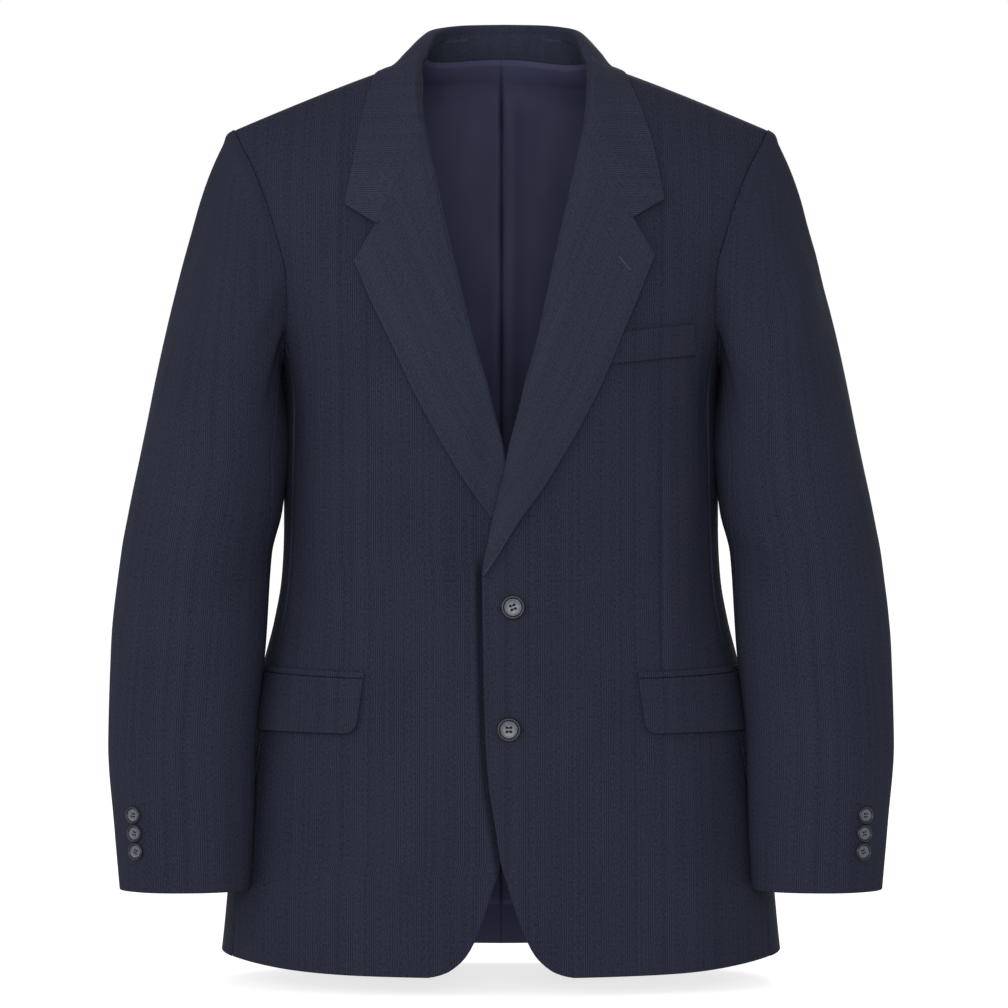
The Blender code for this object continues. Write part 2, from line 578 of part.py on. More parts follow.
# ---------------------------------------------------------------- collar
def clear_of_body(points, ease):
    """Moves points out wherever they lie less than `ease` outside the body's surface."""
    drop = np.linspace(0, 1, 150) ** 2 * 0.15
    girth, side = np.meshgrid(np.linspace(0.15, 2.0, 260), RIDGE - drop)
    surface, raised = body(girth, side).reshape(-1, 3), body(girth, side, 1.0).reshape(-1, 3)
    out = raised - surface
    flat = points.reshape(-1, 3).copy()
    least = np.broadcast_to(ease, points.shape[:-1]).ravel()
    for k, point in enumerate(flat):
        nearest = np.argmin(((surface - point) ** 2).sum(-1))
        height = (point - surface[nearest]) @ out[nearest]
        flat[k] += out[nearest] * max(0.0, least[k] - height)
    return flat.reshape(points.shape)


def collar_half(hand, steps=1):
    """One half's fold, free edge and bulge, `steps` to a station, measured from the middle of the body."""
    count = len(COLLAR["bulge"])
    at = np.linspace(0, count - 1, (count - 1) * steps + 1)
    fold, edge = (np.stack([flow(at, np.arange(count), COLLAR[f"{line}_{axis}"]) for axis in "xyz"], -1)
                  for line in ("fold", "edge"))
    lean = np.array([hand * BUTTON_LEAN, 0, 0])
    return fold + lean, edge + lean, flow(at, np.arange(count), COLLAR["bulge"])


def whole(left, right):
    """Joins the two halves, given as measured on the left, into one grid that starts at the right."""
    return np.concatenate([mirror(right, -1)[:0:-1], left])


def thickened(inner, thickness):
    """The outer face of a wall whose grid runs right to left and fold to edge."""
    return inner + thickness * unit(np.cross(np.gradient(inner, axis=0), np.gradient(inner, axis=1)))


def leaf_half(hand):
    """Underside of half the collar's leaf: from the fold it turns over and falls to its free edge."""
    fold, edge, bulge = collar_half(hand, 2)
    fold = fold - np.array([0, 0, COLLAR_CLOTH])
    chord = edge - fold
    radial = unit(np.stack([edge[:, 0] + fold[:, 0], 1.6 * (edge[:, 1] + fold[:, 1]),
                            np.full(len(fold), 0.12)], -1))
    over = unit(radial - chord * ((radial * chord).sum(-1) / (chord ** 2).sum(-1))[:, None])
    t = np.array([0.0, 0.07, 0.22, 0.46, 0.73, 1.0])[None, :, None]
    hump = 2.6 * np.sqrt(t) * (1 - t)
    points = fold[:, None] + chord[:, None] * t + over[:, None] * bulge[:, None, None] * hump
    return clear_of_body(points, LEAF_EASE + FOLD_EASE * (1 - smooth(t[..., 0] / 0.5)))


def collar_fall_faces():
    inner = whole(leaf_half(1), leaf_half(-1))
    return thickened(inner, COLLAR_CLOTH), inner


def neckline(hand):
    """Points of the neckline from the centre back to the front end of the stand."""
    x = (NAPE_HALF + hand * BUTTON_LEAN) * np.array([0.0, 0.18, 0.36, 0.54, 0.7, 0.83, 0.93, 0.98, 1.0])
    side = RIDGE - SCOOP * np.clip(1 - (x / x[-1]) ** 2, 0, 1)
    back = bare_body(2 - girth_at(x, side), side)
    z = np.array([0.004])
    return np.concatenate([back, on_front(front_edge(z, hand), z, 0.0, hand)])


def stand_half(hand, out):
    """One face of half the stand, from the neckline up to just under the fold."""
    foot = neckline(hand)
    fold = collar_half(hand, 2)[0][:len(foot)]
    along = np.gradient(fold, axis=0)
    outward = unit(np.cross(along, np.array([0.0, 0.0, 1.0]))) * np.array([-1.0, -1.0, 0.0])
    foot = clear_of_body(foot + outward * out, STAND_EASE)
    top = fold + outward * (out - STAND_CLOTH) - np.array([0, 0, COLLAR_CLOTH + STAND_DROP])
    t = np.array([0.0, 0.5, 1.0])[None, :, None]
    lean_in = outward[:, None] * -0.008 * t * (1 - t)
    return foot[:, None] * (1 - t) + top[:, None] * t + lean_in


def collar_stand_faces():
    return [whole(stand_half(1, out), stand_half(-1, out)) for out in (STAND_CLOTH, 0.0)]


def build():
    for old in list(bpy.data.objects):
        bpy.data.objects.remove(old)
    cloth = material("navy suiting", NAVY, 0.85)
    turned = material("navy suiting, turned", NAVY_TURNED, 0.85)
    satin = material("lining satin", LINING_COLOUR, 0.45)
    horn = material("marbled button", BUTTON_COLOUR, 0.22)
    made = {}
    for hand, word in ((1, "left"), (-1, "right")):
        front, side, back = front_panel(hand), side_panel(), back_faces(hand, 0.0, -CLOTH)
        for name, faces in (("front", front), ("side", side), ("back", back)):
            made[f"{name}_{word}"] = wall(f"{name}_{word}", *(mirror(f, hand) for f in faces), cloth)
        lining = back_faces(hand, -CLOTH - SEAM, -CLOTH - SEAM - LINING)
        wall(f"back_lining_{word}", *(mirror(f[LINING_FIRST_ROW:], hand) for f in lining), satin)
        outer, inner, turn = sleeve_faces(front, side, back)
        count = len(turn)
        front_seam = int(np.argmin(np.abs(turn - FRONT_SEAM_TURN)))
        back_seam = int(np.argmin(np.abs(turn - BACK_SEAM_TURN)))
        top_columns = [k % count for k in range(back_seam, count + front_seam + 1)]
        under_columns = list(range(front_seam, back_seam + 1))
        for name, columns in (("top_sleeve", top_columns), ("under_sleeve", under_columns)):
            faces = sleeve_piece((outer, inner), columns)
            made[f"{name}_{word}"] = wall(f"{name}_{word}", *(mirror(f, hand) for f in faces), cloth)
        wall(f"lapel_{word}", *(mirror(f, hand) for f in lapel_faces(hand)), turned)
        wall(f"flap_{word}", *(mirror(f, hand) for f in flap_faces(FLAP_CLOTH, 0, 1)), cloth)
        wall(f"flap_jetting_{word}", *(mirror(f, hand) for f in flap_faces(WELT_CLOTH, 0, 0)), cloth)
        for k, height in enumerate(CUFF_BUTTON_HEIGHTS):
            centre = sleeve_oval(np.array(CUFF_BUTTON_TURN), np.array(height))
            beside = sleeve_oval(np.array(CUFF_BUTTON_TURN + 0.05), np.array(height))
            below = sleeve_oval(np.array(CUFF_BUTTON_TURN), np.array(height - 0.005))
            normal = mirror(unit(np.cross(beside - centre, centre - below)), hand)
            seat = seat_of(made[f"top_sleeve_{word}"], mirror(centre, hand), normal, CUFF_BUTTON / 2)
            turned_button(f"cuff_button_{word}_{k + 1}", CUFF_BUTTON, seat, normal, horn)
    wall("breast_welt", *breast_welt_faces(), cloth)
    wall("collar_fall", *collar_fall_faces(), turned)
    wall("collar_stand", *collar_stand_faces(), turned)
    for k, (x, z) in enumerate(FRONT_BUTTONS):
        point, raised = (on_front(np.array(x), np.array(z), out, 1) for out in (0.0, 0.01))
        seat = seat_of(made["front_left"], point, raised - point, FRONT_BUTTON / 2)
        turned_button(f"front_button_{k + 1}", FRONT_BUTTON, seat, raised - point, horn)


build()
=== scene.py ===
"""A single-breasted two-button suit jacket in navy worsted, filled out as if worn, empty inside.

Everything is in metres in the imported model's frame: +Z up, the front faces -Y, +X is the wearer's left.
Left-hand pieces are worked out as they are (hand +1) and right-hand ones mirrored (hand -1).
"""
import math

import bpy
import numpy as np
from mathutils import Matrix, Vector


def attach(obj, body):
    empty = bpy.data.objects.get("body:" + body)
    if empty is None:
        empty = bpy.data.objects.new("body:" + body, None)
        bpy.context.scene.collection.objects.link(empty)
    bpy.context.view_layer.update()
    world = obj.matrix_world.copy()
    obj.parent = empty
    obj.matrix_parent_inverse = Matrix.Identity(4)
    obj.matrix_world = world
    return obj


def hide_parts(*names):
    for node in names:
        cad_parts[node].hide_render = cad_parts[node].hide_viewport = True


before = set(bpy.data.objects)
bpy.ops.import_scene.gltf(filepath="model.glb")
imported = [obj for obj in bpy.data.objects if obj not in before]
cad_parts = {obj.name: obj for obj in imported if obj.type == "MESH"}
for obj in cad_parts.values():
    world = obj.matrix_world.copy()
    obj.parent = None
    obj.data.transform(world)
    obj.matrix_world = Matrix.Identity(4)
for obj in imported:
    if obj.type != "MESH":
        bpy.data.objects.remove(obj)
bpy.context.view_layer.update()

# ---------------------------------------------------------------- fronts
# The two fronts are worsted over canvas, cut from the shoulder to the hem, with a dart from the chest to
# the pocket.  They set the jacket's outer form, `body`, from which every other body piece is cut.
# The left one laps over the right.
CLOTH, THIN, SATIN = 0.0020, 0.0018, 0.0007   # thickness of body, sleeves and flaps, and lining
HANDS = ((1, "left"), (-1, "right"))
BUTTON_LEAN = 0.0045     # the buttoned front draws the neckline this far to the wearer's left
NECK, NECK_DIP = 0.076, 0.0085   # half the neckline's width, and how far it dips at the centre back
BREAK = -0.4373          # height where the lapels start to turn
RIDGE = -0.0520          # the shoulder seam's height at the shoulder point
ARMHOLE_FOOT = -0.2350   # where the side panel's seams meet the armhole
SIDE_FRONT, SIDE_BACK = 0.78, 1.25
DART_X, DART_TOP, DART_END = 0.132, -0.325, -0.515


def table(columns, *rows):
    """A short table with named columns, as one array for each column."""
    return dict(zip(columns.split(), np.array(rows, float).T))


BODY = table(
    "side half_width front back rise square",
    (-0.7630, 0.2430, 0.1180, 0.1120, -0.0110, 2.40),
    (-0.7120, 0.2385, 0.1165, 0.1120, -0.0060, 2.40),
    (-0.6000, 0.2200, 0.1130, 0.1090, 0.0000, 2.40),
    (-0.5200, 0.2070, 0.1110, 0.1000, 0.0000, 2.40),
    (-0.4780, 0.1966, 0.1100, 0.0940, 0.0000, 2.40),
    (-0.4430, 0.1914, 0.1095, 0.0900, 0.0000, 2.40),
    (-0.4000, 0.1896, 0.1105, 0.0890, 0.0000, 2.40),
    (-0.3400, 0.1880, 0.1155, 0.0950, 0.0000, 2.40),
    (-0.2900, 0.1870, 0.1210, 0.1040, 0.0000, 2.40),
    (-0.2620, 0.1890, 0.1215, 0.1075, 0.0020, 2.40),
    (-0.2235, 0.2015, 0.1150, 0.1100, 0.0080, 2.42),
    (-0.1860, 0.2115, 0.1040, 0.1110, 0.0180, 2.48),
    (-0.1400, 0.2215, 0.0870, 0.1090, 0.0360, 2.60),
    (-0.1020, 0.2290, 0.0660, 0.1030, 0.0520, 2.76),
    (-0.0770, 0.2325, 0.0450, 0.0920, 0.0630, 2.90),
    (-0.0620, 0.2340, 0.0270, 0.0710, 0.0710, 3.00),
    (-0.0545, 0.2345, 0.0140, 0.0420, 0.0742, 3.05),
    (-0.0520, 0.2345, 0.0000, 0.0000, 0.0750, 3.05))
FRONT_LINE = table(
    "height out",
    (-0.7745, 0.0800), (-0.7720, 0.0561), (-0.7680, 0.0436), (-0.7535, 0.0276), (-0.7310, 0.0167),
    (-0.7029, 0.0075), (-0.6790, 0.0000), (-0.6480, -0.0054), (-0.6080, -0.0122), (-0.5646, -0.0159),
    (-0.5177, -0.0183), (BREAK, -0.0204), (-0.4063, -0.0154), (-0.3762, -0.0088), (-0.3535, -0.0030),
    (-0.3259, 0.0025), (-0.2975, 0.0101), (-0.2731, 0.0159), (-0.2460, 0.0240), (-0.1600, 0.0438),
    (-0.0950, 0.0584), (-0.0600, 0.0662), (-0.0420, 0.0712), (-0.0200, 0.0757), (0.0090, 0.0780))
ARMHOLE = table(
    "height front back",
    (-0.2350, 0.1877, 0.1849), (-0.2235, 0.1843, 0.1852), (-0.1860, 0.1845, 0.1880),
    (-0.1400, 0.1945, 0.1970), (-0.0950, 0.2105, 0.2130), (-0.0593, 0.2285, 0.2290),
    (-0.0505, 0.2325, 0.2325))
# Soft ridges and troughs over the fronts, each along a line: from x, z to x, z, how wide and how high.
FRONT_CREASES = table(
    "hand x0 z0 x1 z1 width height",
    (1, 0.030, -0.475, 0.110, -0.425, 0.011, 0.0010),
    (1, 0.035, -0.492, 0.125, -0.478, 0.013, -0.0011),
    (1, 0.050, -0.545, 0.100, -0.470, 0.015, -0.0013),
    (1, 0.075, -0.570, 0.118, -0.485, 0.013, 0.0012),
    (1, 0.150, -0.500, 0.158, -0.300, 0.016, 0.0014),
    (1, 0.172, -0.480, 0.176, -0.290, 0.010, -0.0014),
    (1, 0.030, -0.700, 0.050, -0.600, 0.020, 0.0012),
    (1, 0.115, -0.730, 0.120, -0.600, 0.024, -0.0012),
    (1, 0.165, -0.740, 0.160, -0.610, 0.022, 0.0016),
    (1, 0.110, -0.290, 0.175, -0.215, 0.016, -0.0010),
    (1, 0.140, -0.120, 0.200, -0.190, 0.020, -0.0012),
    (-1, 0.034, -0.478, 0.105, -0.440, 0.013, 0.0009),
    (-1, 0.030, -0.505, 0.100, -0.535, 0.014, -0.0011),
    (-1, 0.148, -0.500, 0.152, -0.320, 0.015, 0.0013),
    (-1, 0.172, -0.470, 0.174, -0.300, 0.010, -0.0014),
    (-1, 0.060, -0.720, 0.070, -0.590, 0.024, -0.0012),
    (-1, 0.120, -0.740, 0.118, -0.610, 0.022, 0.0014),
    (-1, 0.105, -0.300, 0.170, -0.230, 0.017, -0.0010),
    (-1, 0.135, -0.125, 0.195, -0.200, 0.020, -0.0011))


def flow(at, knots, values):
    """A smooth curve through the knots that doesn't overshoot them: cubic pieces whose slope at a
    knot is the harmonic mean of its neighbours' slopes, and level where they differ in sign."""
    order = np.argsort(knots)
    x, y = np.asarray(knots, float)[order], np.asarray(values, float)[order]
    step = np.diff(x)
    rate = np.diff(y) / step
    before, after = rate[:-1], rate[1:]
    total = np.where(before * after > 0, before + after, 1.0)
    inner = np.where(before * after > 0, 2 * before * after / total, 0.0)
    slope = np.concatenate([rate[:1], inner, rate[-1:]])
    at = np.asarray(at, float)
    k = np.clip(np.searchsorted(x, at) - 1, 0, len(step) - 1)
    t = np.clip((at - x[k]) / step[k], 0, 1)
    return (y[k] * (1 + 2 * t) * (1 - t) ** 2 + y[k + 1] * t * t * (3 - 2 * t)
            + step[k] * (slope[k] * t * (1 - t) ** 2 - slope[k + 1] * t * t * (1 - t)))


def smooth(t):
    """0 below 0, 1 above 1, and an even ramp between."""
    t = np.clip(t, 0, 1)
    return t * t * (3 - 2 * t)


def unit(v):
    return v / np.maximum(np.linalg.norm(v, axis=-1, keepdims=True), 1e-12)


def section(column, side):
    return flow(side, BODY["side"], BODY[column])


def across_share(share, square):
    """A superellipse's reach one way, as a share, at a share of the other: (1 - |share|^n)^(1/n)."""
    return np.clip(1 - np.abs(share) ** square, 0, 1) ** (1 / square)


def halving(low, high, too_low):
    """The value at which `too_low` turns false, found by halving the range from low to high."""
    for _ in range(30):
        middle = (low + high) / 2
        more = too_low(middle)
        low, high = np.where(more, middle, low), np.where(more, high, middle)
    return (low + high) / 2


def shoulder_share(x, half_width):
    """How much of a section's rise a point has: 1 in the middle, 0 at the side, nearly straight."""
    share = np.abs(x) / half_width
    bend = 0.35
    return 1 - (np.sqrt(share ** 2 + bend ** 2) - bend) / (math.sqrt(1 + bend ** 2) - bend)


def bare_body(girth, side):
    """The outer form's left half: level superellipses, half_width * sin^(2/n) across and
    depth * cos^(2/n) front to back.  girth is 0 at the centre front, 1 at the side and 2 at the centre
    back; side is the height that the point's level section has at the side."""
    turn = girth * math.pi / 2
    s, c = np.sin(turn), np.cos(turn)
    half_width, square = section("half_width", side), section("square", side)
    x = half_width * np.sign(s) * np.abs(s) ** (2 / square)
    depth = np.where(c > 0, -section("front", side), section("back", side))
    y = depth * np.abs(c) ** (2 / square)
    z = side + section("rise", side) * shoulder_share(x, half_width)
    nape = np.clip(1 - (x / NECK) ** 2, 0, 1) ** 2 * smooth((side + 0.11) / 0.05)
    hang = np.exp(-((girth - 0.42) / 0.30) ** 2) * smooth((-0.70 - side) / 0.06)
    return np.stack(np.broadcast_arrays(x, y, z + 0.006 * nape * (c < 0) - 0.0045 * hang), -1)


def body(girth, side, out=0.0):
    """A point `out` metres outside the outer form, along its normal."""
    girth, side, out = np.broadcast_arrays(*(np.asarray(a, float) for a in (girth, side, out)))
    across = bare_body(girth + 2e-3, side) - bare_body(girth - 2e-3, side)
    up = bare_body(girth, side + 2e-4) - bare_body(girth, side - 2e-4)
    return bare_body(girth, side) + unit(np.cross(across, up)) * out[..., None]


def girth_at(x, side):
    """The girth of the point on the front half that lies x from the middle."""
    share = np.clip(np.abs(x) / section("half_width", side), 0, 1)
    return np.sign(x) * np.arcsin(share ** (section("square", side) / 2)) * 2 / math.pi


def side_at(x, z):
    """The side height of the level section that has height z at x."""
    def height(side):
        return side + section("rise", side) * shoulder_share(x, section("half_width", side))

    return halving(np.full(np.shape(z), -0.80), np.full(np.shape(z), RIDGE), lambda side: height(side) < z)


def button_line(z):
    """Where the line through the buttons lies: it leans from the middle at the hem to the left, and a
    little back at the neck."""
    return BUTTON_LEAN * smooth((z + 0.70) / 0.26) - 0.0016 * smooth((z + 0.30) / 0.15)


def front_edge(z, hand):
    return hand * button_line(z) + flow(z, FRONT_LINE["height"], FRONT_LINE["out"])


def seam_x(side, line):
    """Where a seam line, given as a distance from the middle by height, crosses a level section."""
    half_width, rise = section("half_width", side), section("rise", side)
    x = np.full(np.shape(side), 0.1)
    for _ in range(25):
        x = line(side + rise * shoulder_share(x, half_width))
    return x


def front_layer(x, z, hand):
    """How far a front is moved out near the middle, where the left one laps over the right.  The right
    one sinks beside the other's edge, which leaves the dark line down the front."""
    other_edge = hand * button_line(z) - flow(z, FRONT_LINE["height"], FRONT_LINE["out"])
    if hand > 0:
        return 0.0020 * smooth((other_edge + 0.035 - x) / 0.030)
    depth = 0.0014 + 0.0042 * smooth((z + 0.50) / 0.05)
    groove = 0.0062 * smooth((other_edge + 0.0065 - x) / 0.006) * smooth((BREAK + 0.020 - z) / 0.02)
    return -depth * smooth((other_edge + 0.045 - x) / 0.040) - groove


def creased(x, z, rows, hand):
    """The height of the soft folds at a point: each row is a bell-shaped ridge along its line, exp of
    minus the squared distance from the line over the width, faded off past the line's ends."""
    total = np.zeros(np.broadcast(x, z).shape)
    for k in np.flatnonzero(rows["hand"] == hand):
        start = np.array([rows["x0"][k], rows["z0"][k]])
        line = np.array([rows["x1"][k], rows["z1"][k]]) - start
        length = math.hypot(*line)
        along = ((x - start[0]) * line[0] + (z - start[1]) * line[1]) / length
        across = ((x - start[0]) * line[1] - (z - start[1]) * line[0]) / length
        past = np.maximum(np.maximum(-along, along - length), 0) / (2.2 * rows["width"][k])
        total += rows["height"][k] * np.exp(-(across / rows["width"][k]) ** 2 - past ** 2)
    return total


def on_front(x, z, out, hand):
    """A point over the front that shows x and z, moved out from the front's own layer and folds."""
    side = side_at(x, z)
    relief = front_layer(x, z, hand) + creased(x, z, FRONT_CREASES, hand)
    return body(girth_at(x, side), side, relief + out)


def shares(count, length, edge=0.0012):
    """Even steps from 0 to 1 along a length, with finer ones where the cloth's edge rounds off."""
    fine = np.array([0, 0.12, 0.4]) * edge / length
    return np.concatenate([fine, np.linspace(edge / length, 1 - edge / length, count), 1 - fine[::-1]])


def run(points, axis):
    """Distance run along a grid's lines, from their first point."""
    steps = np.linalg.norm(np.diff(points, axis=axis), axis=-1)
    return np.concatenate([np.zeros_like(np.take(steps, [0], axis)), np.cumsum(steps, axis)], axis)


def lined(face, start=0.0):
    """The grain of a piece whose lines run straight down, counted across it from `start`."""
    return np.stack([start + run(face, 1), face[..., 2]], -1)


def new_piece(name, points, faces, looks):
    """An object of these points and faces, smooth all over, that rides on the jacket's one body."""
    mesh = bpy.data.meshes.new(name)
    mesh.from_pydata(points.tolist(), [], faces)
    mesh.polygons.foreach_set("use_smooth", np.ones(len(faces), bool))
    for look in looks:
        mesh.materials.append(look)
    piece = bpy.data.objects.new(name, mesh)
    bpy.context.scene.collection.objects.link(piece)
    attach(piece, "root")
    return piece


def add_map(piece, name, values):
    """Gives each corner of a piece's faces the two values of its point, as a UV map."""
    corners = np.zeros(len(piece.data.loops), np.int32)
    piece.data.loops.foreach_get("vertex_index", corners)
    piece.data.uv_layers.new(name=name).data.foreach_set("uv", values[corners].astype(np.float32).ravel())


def wall(name, outer, thickness, grain, looks, hand=1, facing=1, edges="hem top front back"):
    """A closed cloth wall from a grid of the points of its outer face, and its grain: how far each
    point lies across and along the cloth's lines.  Half a thickness from a border named in `edges` the
    wall rounds off: both faces close on the middle one by 1 - sqrt(1 - (1 - share)^2)."""
    normal = unit(np.cross(np.gradient(outer, axis=1), np.gradient(outer, axis=0))) * facing
    down, across = run(outer, 0), run(outer, 1)
    reach = {"hem": down, "top": down[-1:] - down, "front": across, "back": across[:, -1:] - across}
    near = np.full(outer.shape[:2], 1.0)
    for edge in edges.split():
        near = np.minimum(near, reach[edge] / (np.asarray(thickness) / 2))
    half = np.asarray(thickness) / 2 * np.maximum(np.sqrt(1 - (1 - np.clip(near, 0, 1)) ** 2), 0.1)
    middle = outer - normal * (np.broadcast_to(thickness, near.shape) / 2)[..., None]
    faces = [middle + normal * half[..., None], middle - normal * half[..., None]]
    rows, columns = near.shape
    at = np.arange(rows * columns).reshape(rows, columns)
    shell = np.stack([at[:-1, :-1], at[:-1, 1:], at[1:, 1:], at[1:, :-1]], -1).reshape(-1, 4)
    rim = np.concatenate([at[0, :-1], at[:-1, -1], at[-1, :0:-1], at[:0:-1, 0]])
    after = np.roll(rim, -1)
    count = rows * columns
    rims = np.stack([after, rim, rim + count, after + count], -1)
    quads = np.concatenate([shell, shell[:, ::-1] + count, rims])
    points = np.concatenate([f.reshape(-1, 3) for f in faces]) * np.array([hand, 1, 1])
    a, b, c, d = np.moveaxis(points[quads], 1, 0)
    if (np.cross(b, c) * a + np.cross(c, d) * a).sum() < 0:   # the wall's volume: its faces look inwards
        quads = quads[:, ::-1]
    piece = new_piece(name + "_cloth", points, quads.tolist(), looks)
    add_map(piece, "grain", np.tile(grain.reshape(-1, 2), (2, 1)))
    if len(looks) > 1:   # the second look is the lining on the inner face
        inner = np.zeros(len(quads), np.int32)
        inner[len(shell):2 * len(shell)] = 1
        piece.data.polygons.foreach_set("material_index", inner)
    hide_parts(name)
    return piece


def cut(outer):
    """Measures the longest run across and along a piece's outer face; the values are not kept."""
    width, length = run(outer, 1)[:, -1].max(), run(outer, 0)[-1].max()


class Shade:
    """A socket of a material's nodes.  Sums written with it add Math nodes; `make` adds any other."""

    def __init__(self, tree, out=None):
        self.tree, self.out = tree, out

    def make(self, kind, settings, values, output=0):
        node = self.tree.nodes.new(kind)
        for name, value in settings.items():
            setattr(node, name, value)
        for name, value in values.items():
            socket = node.inputs[name]
            if isinstance(value, Shade):
                self.tree.links.new(value.out, socket)
            else:
                socket.default_value = value
        return Shade(self.tree, node.outputs[output])

    def math(self, operation, *values, clamp=False):
        settings = {"operation": operation, "use_clamp": clamp}
        return self.make("ShaderNodeMath", settings, dict(enumerate(values)))

    def __add__(self, other):
        return self.math("ADD", self, other)

    def __sub__(self, other):
        return self.math("SUBTRACT", self, other)

    def __rsub__(self, other):
        return self.math("SUBTRACT", other, self)

    def __mul__(self, other):
        return self.math("MULTIPLY", self, other)

    def __truediv__(self, other):
        return self.math("DIVIDE", self, other)

    __radd__, __rmul__ = __add__, __mul__

    def wave(self, pitch):
        """An even wave between 0 and 1 of that pitch."""
        return self.math("COSINE", self * (2 * math.pi / pitch)) * 0.5 + 0.5

    def line(self, pitch, offset, width):
        """1 along lines `pitch` apart, the first at `offset`, falling to 0 at half a width from each."""
        away = self.math("ABSOLUTE", self.math("FRACT", self / pitch + (0.5 - offset / pitch)) - 0.5)
        return self.math("SUBTRACT", 1.0, away * (2 * pitch / width), clamp=True)

    def mixed(self, share, one, two):
        """Colour one where the share is 0 and colour two where it is 1."""
        return self.make("ShaderNodeMix", {"data_type": "RGBA"},
                         {"Factor": share, 6: one, 7: two}, output=2)

    def noise(self, scale, place, dimensions="3D", **more):
        """Smooth noise of that scale over a place, or along a distance."""
        over = {"W" if dimensions == "1D" else "Vector": place}
        return self.make("ShaderNodeTexNoise", {"noise_dimensions": dimensions},
                         {"Scale": scale, **over, **more})

    def feed(self, shader, name):
        """Links it to a socket of the shader."""
        self.tree.links.new(self.out, shader.inputs[name])


def new_look(name, roughness, coat=0.0, gloss=0.5):
    """A new material, its nodes as a Shade without a socket, and its shader."""
    look = bpy.data.materials.new(name)
    look.use_nodes = True
    shader = look.node_tree.nodes["Principled BSDF"]
    shader.inputs["Roughness"].default_value = roughness
    shader.inputs["Specular IOR Level"].default_value = gloss
    shader.inputs["Coat Weight"].default_value = coat
    return look, Shade(look.node_tree), shader


def suiting(name, ground, light, contrast=2.7):
    """Worsted: threads of uneven darkness along the cloth, groups of fine light lines 18 mm apart, and
    between them a burgundy and a teal line in turn.  The weave and the threads raise it a little."""
    look, shade, shader = new_look(name, 0.9, gloss=0.06)
    grain = shade.make("ShaderNodeUVMap", {"uv_map": "grain"}, {})
    across, along = (shade.make("ShaderNodeSeparateXYZ", {}, {"Vector": grain}, output=k) for k in "XY")

    def stretched(over, down):
        return shade.make("ShaderNodeCombineXYZ", {}, {"X": across * over, "Y": along * down})

    threads = shade.noise(620.0, across, "1D", Detail=3.0, Roughness=0.7)
    broad = shade.noise(120.0, across + 3.7, "1D", Detail=2.0)
    slubs = shade.noise(1.0, stretched(1000.0, 420.0), "2D", Detail=2.0)
    cloudy = shade.noise(1.0, stretched(14.0, 9.0), "2D", Detail=2.0)
    weave = (across + along * 0.8).wave(0.0011)
    lines = across.line(0.0180, 0.0, 0.0085) * (across.wave(0.0018) - 0.42) * (cloudy * 1.0 + 0.4)
    burgundy = across.line(0.0360, 0.0090, 0.0022) * (cloudy * 1.6 + -0.3)
    teal = across.line(0.0360, 0.0270, 0.0026) * (1.2 - cloudy * 1.2)
    tone = (threads * 0.6 + broad * 0.3 + slubs * 1.9 + weave * 0.06 + cloudy * 0.35 + lines * contrast
            + -1.10)
    colour = shade.mixed(tone, ground, light)
    colour = shade.mixed(burgundy * 0.30, colour, (0.030, 0.013, 0.022, 1))
    shade.mixed(teal * 0.32, colour, (0.006, 0.025, 0.031, 1)).feed(shader, "Base Color")
    height = threads * 0.5 + slubs * 0.6 + weave * 0.3
    bump = shade.make("ShaderNodeBump", {}, {"Strength": 0.25, "Distance": 0.0004, "Height": height})
    bump.feed(shader, "Normal")
    return look


def satin(name):
    """Lining: smooth dark violet satin with a soft shine and a faint cloudiness."""
    look, shade, shader = new_look(name, 0.55, gloss=0.03)
    cloudy = shade.noise(16.0, shade.make("ShaderNodeTexCoord", {}, {}, output="Object"), Detail=4.0)
    colour = shade.mixed(cloudy, (0.0190, 0.0196, 0.0390, 1), (0.0315, 0.0320, 0.0595, 1))
    colour.feed(shader, "Base Color")
    bump = shade.make("ShaderNodeBump", {}, {"Strength": 0.12, "Distance": 0.001, "Height": cloudy})
    bump.feed(shader, "Normal")
    return look


navy = suiting("navy worsted", (0.0059, 0.0067, 0.0129, 1), (0.0147, 0.0163, 0.0268, 1))
lining = satin("lining satin")
# The side heights of the body's rows of points, closer at the hem and under the shoulder seam.
SIDES = np.concatenate([
    np.linspace(-0.7630, -0.7605, 4), np.linspace(-0.7585, -0.745, 8), np.linspace(-0.741, -0.1, 120),
    np.linspace(-0.098, -0.064, 14),
    [-0.0620, -0.0600, -0.0580, -0.0560, -0.0545, -0.0533, -0.0525, RIDGE + 1e-5]])
DART_COLUMNS = np.array([[-0.004, -0.0022, -0.0012, 0, 0.0012, 0.0022, 0.004]])


def front_grid(hand):
    """Girths and side heights of a front.  In each row the columns run evenly in x from its inner edge
    to the dart, closer across the dart, and evenly in girth from there to the side seam or armhole."""
    inner = seam_x(SIDES, lambda z: front_edge(z, hand))
    height = bare_body(girth_at(inner, SIDES), SIDES)[..., 2]
    inner = inner + 0.0022 * smooth((height - BREAK - 0.012) / 0.02)
    armhole = seam_x(SIDES, lambda z: flow(z, ARMHOLE["height"], ARMHOLE["front"]))
    outer = np.where(SIDES < ARMHOLE_FOOT, SIDE_FRONT, girth_at(armhole, SIDES))
    dart = DART_X + hand * BUTTON_LEAN
    first = shares(84, 0.15)[:-3]
    columns = inner[:, None] + (dart - 0.006 - inner)[:, None] * first / first[-1]
    dart_columns = np.repeat(DART_COLUMNS + dart, len(SIDES), 0)
    girth = girth_at(np.concatenate([columns, dart_columns], 1), SIDES[:, None])
    last = girth[:, -1:]
    second = shares(24, 0.08)[3:]
    rest = last + (outer[:, None] - last) * (second - second[0] + 0.02) / (second[-1] - second[0] + 0.02)
    girth = np.concatenate([girth, rest], 1)
    return girth, np.broadcast_to(SIDES[:, None], girth.shape)


